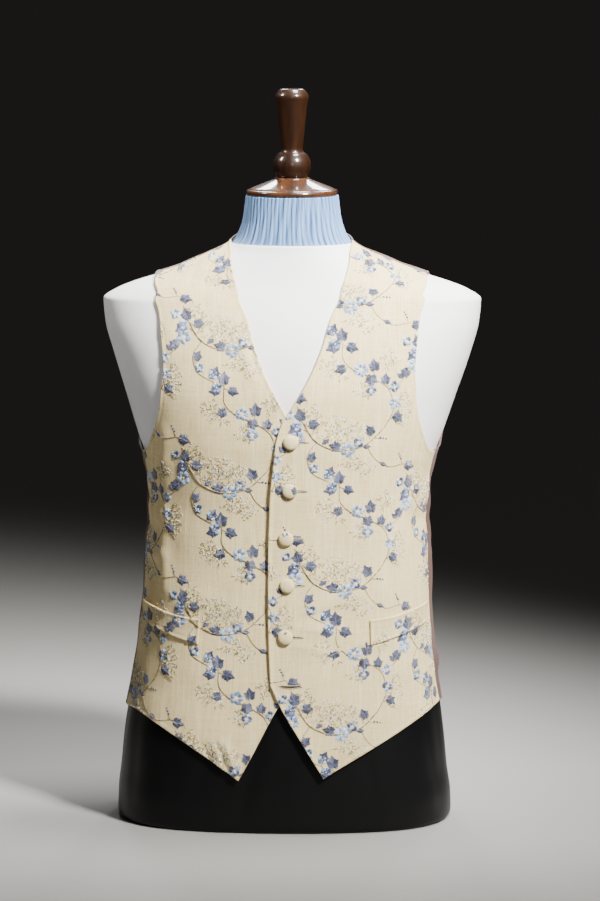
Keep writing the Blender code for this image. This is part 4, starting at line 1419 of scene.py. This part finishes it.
def make_buttonholes():
    """Worked buttonholes: a rope of thread round a slit painted dark as shade, the undone one a little open.
    """
    threads = Threads()
    t = np.linspace(0, 2 * math.pi, 60)
    half = HOLE_LENGTH / 2
    for across, height in BUTTONS + (UNDONE_HOLE,):
        undone = (across, height) == UNDONE_HOLE
        middle = flat_button(across, height) / MM + np.array((half - HOLE_BEFORE, 0.0))
        open_by = UNDONE_HALF_WIDTH if undone else HOLE_HALF_WIDTH
        sag = -UNDONE_SAG if undone else 0.0
        along = half * np.clip(1.12 * np.cos(t), -1, 1)
        bend = sag * (1 - (along / half) ** 2)
        beside = open_by * np.sin(t) * np.sqrt(1 - 0.5 * (along / half) ** 2) + bend
        round_it = np.stack([along, beside], axis=-1)
        add_ropes(threads, (middle + round_it)[None], 0.55, np.array(HOLE_THREAD), lift=0.1)
        inner = np.linspace(-0.93, 0.93, 24) * half
        slit = np.stack([inner, sag * (1 - (inner / half) ** 2)], axis=-1)
        add_ropes(threads, (middle + slit)[None], 1.25 if undone else 0.85, np.array(HOLE_SHADE), lift=-0.3)
    outline = flat_outline(*FRONTS["left"], 2.0 * MM)
    lay_threads("waistcoat_buttonholes", threads.joined(), outline, on_left_front, FRONT_CLOTH)


# How far apart on the cloth the buttons' covers were cut (m)
BUTTON_CLOTH_STEP = 0.37
# A button's section from the middle of its back round to its top: radius and height (mm)
BUTTON_PROFILE = (
    (0.0, 0.0), (6.6, 0.0), (7.5, 0.15), (8.0, 0.6), (8.3, 1.3), (8.2, 2.0), (7.6, 3.0), (6.5, 3.85),
    (5.0, 4.45), (3.2, 4.85), (1.6, 5.0), (0.0, 5.05),
)


def make_button(number, across, height):
    """A cloth-covered dome: its section turned about the cloth's normal, with a few soft puckers."""
    height = height * MM
    turn = button_turn(across * MM, height)
    place = np.float64(turn), np.float64(height)
    seat_lift = front_lift("left", *place) + FRONT_CLOTH + TRIM_GAP
    seat = off_torso(*place, seat_lift)
    out = torso_normal(*place)
    sideways = np.cross((0.0, 0.0, 1.0), out)
    sideways /= np.linalg.norm(sideways)
    upwards = np.cross(out, sideways)
    section = np.array(BUTTON_PROFILE) * MM
    reach = np.concatenate([[0], np.cumsum(np.hypot(*np.diff(section, axis=0).T))])
    fine = np.linspace(0, reach[-1], 46)[1:-1]
    radius = smooth_through(fine, reach, section[:, 0])[:, None]
    rise = smooth_through(fine, reach, section[:, 1])[:, None]
    angle = np.linspace(0, 2 * math.pi, 60, endpoint=False)[None, :]
    pucker = np.cos(9 * angle + number) + 0.6 * np.cos(13 * angle + 2.3 * number)
    rim_share = smoothstep((radius - 5.5 * MM) / (2.5 * MM)) * smoothstep((3.2 * MM - rise) / (2 * MM))
    radius = radius - 0.10 * MM * (1.6 + pucker) * rim_share
    rise = rise + 0 * angle
    right_way, up_way = radius * np.cos(angle), radius * np.sin(angle)
    points = seat + right_way[..., None] * sideways + up_way[..., None] * upwards + rise[..., None] * out
    ends = np.stack([seat, seat + section[-1, 1] * out])
    piece = closed_stack("waistcoat_button_" + str(number), points, BUTTON_CLOTH, ends)
    centre = np.array(flat_from_torso(*place))
    flat = np.stack([centre[0] + right_way, centre[1] + up_way], axis=-1).reshape(-1, 2)
    add_uv(piece, "cloth", np.concatenate([flat, centre[None], centre[None]]) + BUTTON_CLOTH_STEP * number)
    dress(piece, "button_cloth", "button_" + str(number))
    make_button_bits(number, seat, sideways, upwards, out)


# Bits of the pattern that run over a button: button, x, y, heading (degrees), kind, size (mm), shade
BUTTON_BITS = (
    (2, 6.4, 0.4, 95, "ivy", 12.5, 0.05),
    (3, -1.0, 6.6, 70, "floret", 7.5, 0.5),
    (5, 0.5, 5.0, 20, "oval", 5.0, 0.2),
)
# The disc that those bits are cut to (mm)
BITS_RADIUS = 7.7


def make_button_bits(button, seat, sideways, upwards, out):
    """Embroidery on a button: flat motifs cut to a disc and laid on the dome, down to its widest ring."""
    threads = Threads()
    for number, x, y, way, kind, size, shade in BUTTON_BITS:
        if number != button:
            continue
        place, tone = np.array([[x, y, math.radians(way), size]], float), np.array([shade])
        if kind == "floret":
            add_flowers(threads, place, tone, 4)
        else:
            add_leaves(threads, kind, place, tone)
    if not threads.count:
        return
    flat, rise, colour, stitch, quads, fans = threads.joined()
    radius = np.linalg.norm(flat, axis=1)
    inside = radius < BITS_RADIUS
    faces = [group[inside[group].any(axis=1)] for group in (quads, fans)]
    flat = flat * np.minimum(1, BITS_RADIUS / np.maximum(radius, 1e-6))[:, None]
    radius = np.minimum(radius, BITS_RADIUS)
    dome = np.array(BUTTON_PROFILE[3:])[::-1]
    dome = dome[: int(dome[:, 0].argmax()) + 1]
    lift = smooth_through(radius, dome[:, 0], dome[:, 1]) + 0.1 + 0.8 * rise / MM
    flat = flat * MM
    points = seat + flat[:, :1] * sideways + flat[:, 1:] * upwards + lift[:, None] * MM * out
    thread_piece("waistcoat_button_thread_" + str(button), points, faces, stitch, colour, "button_cloth")


# The dress form


# Heights of the form's parts (mm): the black cover's top, the torso's cover, the neck's cloth
LOWER_TOP, COVER_FOOT, COVER_TOP, NECK_FOOT, NECK_TOP = 155.7, 156, 634, 634.3, 685.2


def form_rings(heights, clearance, sides=160):
    """Rings of the form, in from the torso by a clearance at each place."""
    turn = np.linspace(0, 360, sides, endpoint=False)[None, :]
    height = np.asarray(heights)[:, None] * MM
    turn, height = turn + 0 * height, height + 0 * turn
    rings = off_torso(turn, height, -(np.asarray(clearance) + 0 * turn))
    rings[[0, -1], :, 2] = height[[0, -1]]
    return turn, height, rings


def make_form_cover():
    """The torso's smooth cover, its arms' ends closed and rounded."""
    heights = np.concatenate([np.linspace(COVER_FOOT, 540, 66), np.linspace(545, COVER_TOP, 50)])
    rings = form_rings(heights, FORM_CLEARANCE)[2]
    piece = closed_stack("waistcoat_form_cover", rings, COVER)
    dress(piece, "form_cover", "form_body")


# Gathers of the neck's cloth: their depth, and how many ridges go round, phase, share of the depth
NECK_DEPTH = 2.5 * MM
NECK_GATHERS = ((62, 0.4, 0.80), (45, 2.1, 0.65), (110, 4.0, 0.26), (29, 1.3, 0.50))


def make_form_neck():
    """Gathered cloth: sums of |sin|, round ridges with sharp folds between, that lean and drift upwards."""
    heights = np.concatenate([[NECK_FOOT], np.linspace(634.8, 684.6, 40), [NECK_TOP]])
    turn, height, rings = form_rings(heights, FORM_CLEARANCE, sides=900)
    angle = np.radians(turn)
    rise = (height - NECK_FOOT * MM) / ((NECK_TOP - NECK_FOOT) * MM)
    gather = np.zeros_like(angle)
    for count, phase, depth in NECK_GATHERS:
        drift = 1.1 * np.sin(2.6 * rise + phase + 2 * angle) + 1.6 * np.sin(3 * angle + 2 * phase)
        gather += depth * np.abs(np.sin(count / 2 * angle + phase + drift))
    ridge = gather / sum(row[2] for row in NECK_GATHERS)
    rings = rings - torso_normal(turn, height) * (NECK_DEPTH * (1 - ridge))[..., None]
    rings[[0, -1], :, 2] = height[[0, -1]]
    piece = closed_stack("waistcoat_form_neck", rings, BLUE)
    # The ridge share, eased, drives the painted shade in the folds and the painted light on the ridges
    tone = smoothstep((ridge - 0.25) / 0.6)
    add_number(piece, "ridge", np.concatenate([tone.ravel(), [0.5, 0.5]]))
    dress(piece, "neck_cloth", "form_neck")


# Creases of the black cover: turn and height at the top, then at the foot, half width, depth (mm)
COVER_CREASES = (
    (-46, 150, -40, 8, 11, 1.5), (-20, 150, -28, 20, 9, 1.2), (-4, 140, -12, 12, 8, 1.4),
    (10, 155, 4, 30, 10, -1.2), (24, 120, 33, 6, 10, 1.3), (38, 110, 30, 10, 13, -1.2),
    (58, 150, 66, 12, 12, 1.5), (75, 155, 70, 20, 14, 1.3), (-64, 155, -58, 12, 12, 1.4),
    (-78, 150, -84, 10, 12, 1.2), (100, 150, 94, 10, 14, 1.5), (122, 150, 128, 14, 12, -1.2),
    (146, 150, 140, 8, 12, 1.4), (168, 155, 176, 10, 14, 1.3), (-104, 150, -98, 14, 14, 1.4),
    (-128, 150, -134, 8, 12, -1.1), (-152, 155, -146, 12, 12, 1.4),
)
# The base's rounded edge: height, and how far it lies in from the side (mm)
BASE_EDGE = ((0.0, 4.5), (0.35, 3.3), (1.2, 2.2), (2.2, 1.35), (3.6, 0.7), (5.5, 0.25), (9.0, 0.0))


def make_form_lower():
    """The black cover, its creases soft troughs and ridges, with a flat base."""
    edge = np.array(BASE_EDGE)
    heights = np.concatenate([edge[:, 0], np.linspace(12, LOWER_TOP, 70)])
    inset = np.concatenate([edge[:, 1], np.zeros(70)])[:, None] * MM
    turn, height, rings = form_rings(heights, FORM_CLEARANCE + inset, sides=240)
    place = torso_point(turn, height)
    depth = np.zeros_like(turn)
    for top_turn, top, foot_turn, foot, half_width, amount in COVER_CREASES:
        part, away = beside_run(place, top_turn, top, foot_turn, foot)
        depth += amount * MM * np.sin(math.pi * (0.1 + 0.8 * part)) * bump(away, half_width * MM)
    fade = smoothstep(height / (26 * MM)) * smoothstep((155 * MM - height) / (10 * MM))
    rings = rings - torso_normal(turn, height) * (np.maximum(depth, -0.5 * MM) * fade)[..., None]
    rings[[0, -1], :, 2] = height[[0, -1]]
    piece = closed_stack("waistcoat_form_lower", rings, BLACK)
    dress(piece, "black_cloth", "form_lower")


# Sections of the turned wood, from the foot up: radius and height (mm)
CAP_PROFILE = (
    (48.2, 685.5), (49.4, 685.9), (50.1, 687.0), (50.2, 688.6), (49.8, 690.2), (48.9, 691.2),
    (47.2, 691.7), (46.4, 692.3), (44.0, 693.5), (38.0, 695.9), (31.0, 698.6), (25.0, 700.9),
    (21.6, 702.2), (20.2, 703.0), (19.2, 704.0), (18.4, 704.6),
)
FINIAL_PROFILE = (
    (15.8, 704.9), (17.3, 706.3), (18.9, 709.0), (20.3, 713.2), (20.7, 717.4), (20.2, 722.0),
    (18.6, 726.3), (16.0, 730.0), (13.6, 731.9), (12.5, 733.0), (12.0, 734.4), (11.9, 736.0),
    (12.2, 740.0), (13.4, 750.0), (14.9, 765.0), (16.5, 780.0), (17.7, 788.0), (18.3, 791.6),
    (18.1, 793.6), (17.0, 796.0), (15.0, 798.6), (13.0, 800.4), (11.6, 801.0),
)


def make_turned(name, profile, material, node):
    """A smooth section turned about Z, with both ends closed."""
    section = np.array(profile) * MM
    reach = np.concatenate([[0], np.cumsum(np.hypot(*np.diff(section, axis=0).T))])
    fine = np.linspace(0, reach[-1], 110)
    radius = smooth_through(fine, reach, section[:, 0])[:, None]
    height = smooth_through(fine, reach, section[:, 1])[:, None]
    angle = np.linspace(0, 2 * math.pi, 128, endpoint=False)[None, :]
    rings = np.stack([radius * np.sin(angle), -radius * np.cos(angle), height + 0 * angle], axis=-1)
    dress(closed_stack(name, rings, material), "turned_wood", node)


def make_form():
    """The form from its black foot to the finial."""
    make_form_cover()
    make_form_neck()
    make_form_lower()
    make_turned("waistcoat_form_cap", CAP_PROFILE, PLATE_WOOD, "neck_cap")
    make_turned("waistcoat_form_finial", FINIAL_PROFILE, FINIAL_WOOD, "finial")


# Scene and lights


def add_light(name, place, target, size, power, colour, spread):
    """An oblong soft light that looks at a target, its beam as wide as its spread in degrees."""
    data = bpy.data.lights.new(name, "AREA")
    data.shape = "RECTANGLE"
    data.size, data.size_y = size
    data.energy = power
    data.color = colour
    data.spread = math.radians(spread)
    light = bpy.data.objects.new(name, data)
    bpy.context.collection.objects.link(light)
    light.location = place
    away = Vector(place) - Vector(target)
    light.rotation_euler = away.to_track_quat("Z", "Y").to_euler()


# Where the broad lights look
MIDDLE = (0.0, 0.0, 0.42)
# Each light: name, place, target, size, power (W), colour, spread (degrees)
LIGHTS = (
    ("key_light", (1.38, -1.62, 2.32), (0.13, 0, 0.59), (0.45, 0.6), 12.2, (1.0, 0.975, 0.925), 27),
    ("fill_light", (0.3, -3.4, 1.4), MIDDLE, (0.9, 0.9), 0.35, (1.0, 0.86, 0.80), 40),
    ("top_light", (0.35, 0.10, 2.2), (0.0, 0.0, 0.58), (0.8, 0.5), 9.5, (1.0, 0.985, 0.96), 60),
    ("left_light", (-1.4, -0.2, 1.9), (0.0, 0.0, 0.88), (0.3, 0.6), 1.2, (1.0, 0.98, 0.96), 24),
    ("back_light_left", (0.52, 2.45, 2.25), MIDDLE, (0.45, 0.6), 1.7, (0.98, 0.99, 1.0), 44),
    ("back_light_right", (-0.52, 2.45, 2.25), MIDDLE, (0.45, 0.6), 1.7, (0.98, 0.99, 1.0), 44),
)
ROOM_BRIGHTNESS = 0.054
# How far the floor reaches, and how far it lies below the form's base (m)
FLOOR_REACH, FLOOR_DROP = 60.0, 0.0002


def make_stage():
    """A pale floor, a dim grey surround and the soft lights."""
    matt = Graph("pale_floor").shaded({"Base Color": FLOOR_GREY, "Roughness": 0.8})
    corners = np.array(((-1, -1, 0), (1, -1, 0), (1, 1, 0), (-1, 1, 0))) * FLOOR_REACH
    floor = fill_mesh("floor", corners - np.array((0, 0, FLOOR_DROP)), np.array(((0, 1, 2, 3),)), matt)
    world = bpy.data.worlds.new("soft_room")
    world.use_nodes = True
    background = world.node_tree.nodes["Background"]
    background.inputs["Color"].default_value = ROOM_GREY
    background.inputs["Strength"].default_value = ROOM_BRIGHTNESS
    bpy.context.scene.world = world
    for light in LIGHTS:
        add_light(*light)


# The camera that matches the photo: its distance, height, tilt down, turn round the object and focal
# length in the photo's pixels, then the photo's size and the column of the form's axis, in pixels
CAMERA_DISTANCE = 4.560
CAMERA_HEIGHT = 1.0045
CAMERA_TILT = math.radians(7.5)
CAMERA_TURN = math.radians(2.0)
CAMERA_FOCAL_PIXELS = 4182.0
FRAME_WIDTH, FRAME_HEIGHT = 600, 901
AXIS_PIXEL = 292.0


def make_camera():
    """A long lens, moved sideways so that the form's axis falls where it does in the photo."""
    data = bpy.data.cameras.new("camera")
    data.sensor_width = 36.0
    data.lens = CAMERA_FOCAL_PIXELS / FRAME_HEIGHT * data.sensor_width
    data.clip_start, data.clip_end = 0.1, 200.0
    camera = bpy.data.objects.new("camera", data)
    bpy.context.collection.objects.link(camera)
    sideways = (FRAME_WIDTH / 2 - AXIS_PIXEL) / CAMERA_FOCAL_PIXELS * CAMERA_DISTANCE
    right = np.array((math.cos(CAMERA_TURN), math.sin(CAMERA_TURN)))
    back = np.array((math.sin(CAMERA_TURN), -math.cos(CAMERA_TURN)))
    x, y = right * sideways + back * CAMERA_DISTANCE
    camera.location = (x, y, CAMERA_HEIGHT)
    camera.rotation_euler = (math.radians(90) - CAMERA_TILT, 0, CAMERA_TURN)
    bpy.context.scene.camera = camera


make_stage()
make_camera()
make_form()
make_cloth()
for front_side in ("right", "left"):
    embroider(front_side)
make_buttonholes()
for button_number, (button_across, button_height) in enumerate(BUTTONS, start=1):
    make_button(button_number, button_across, button_height)
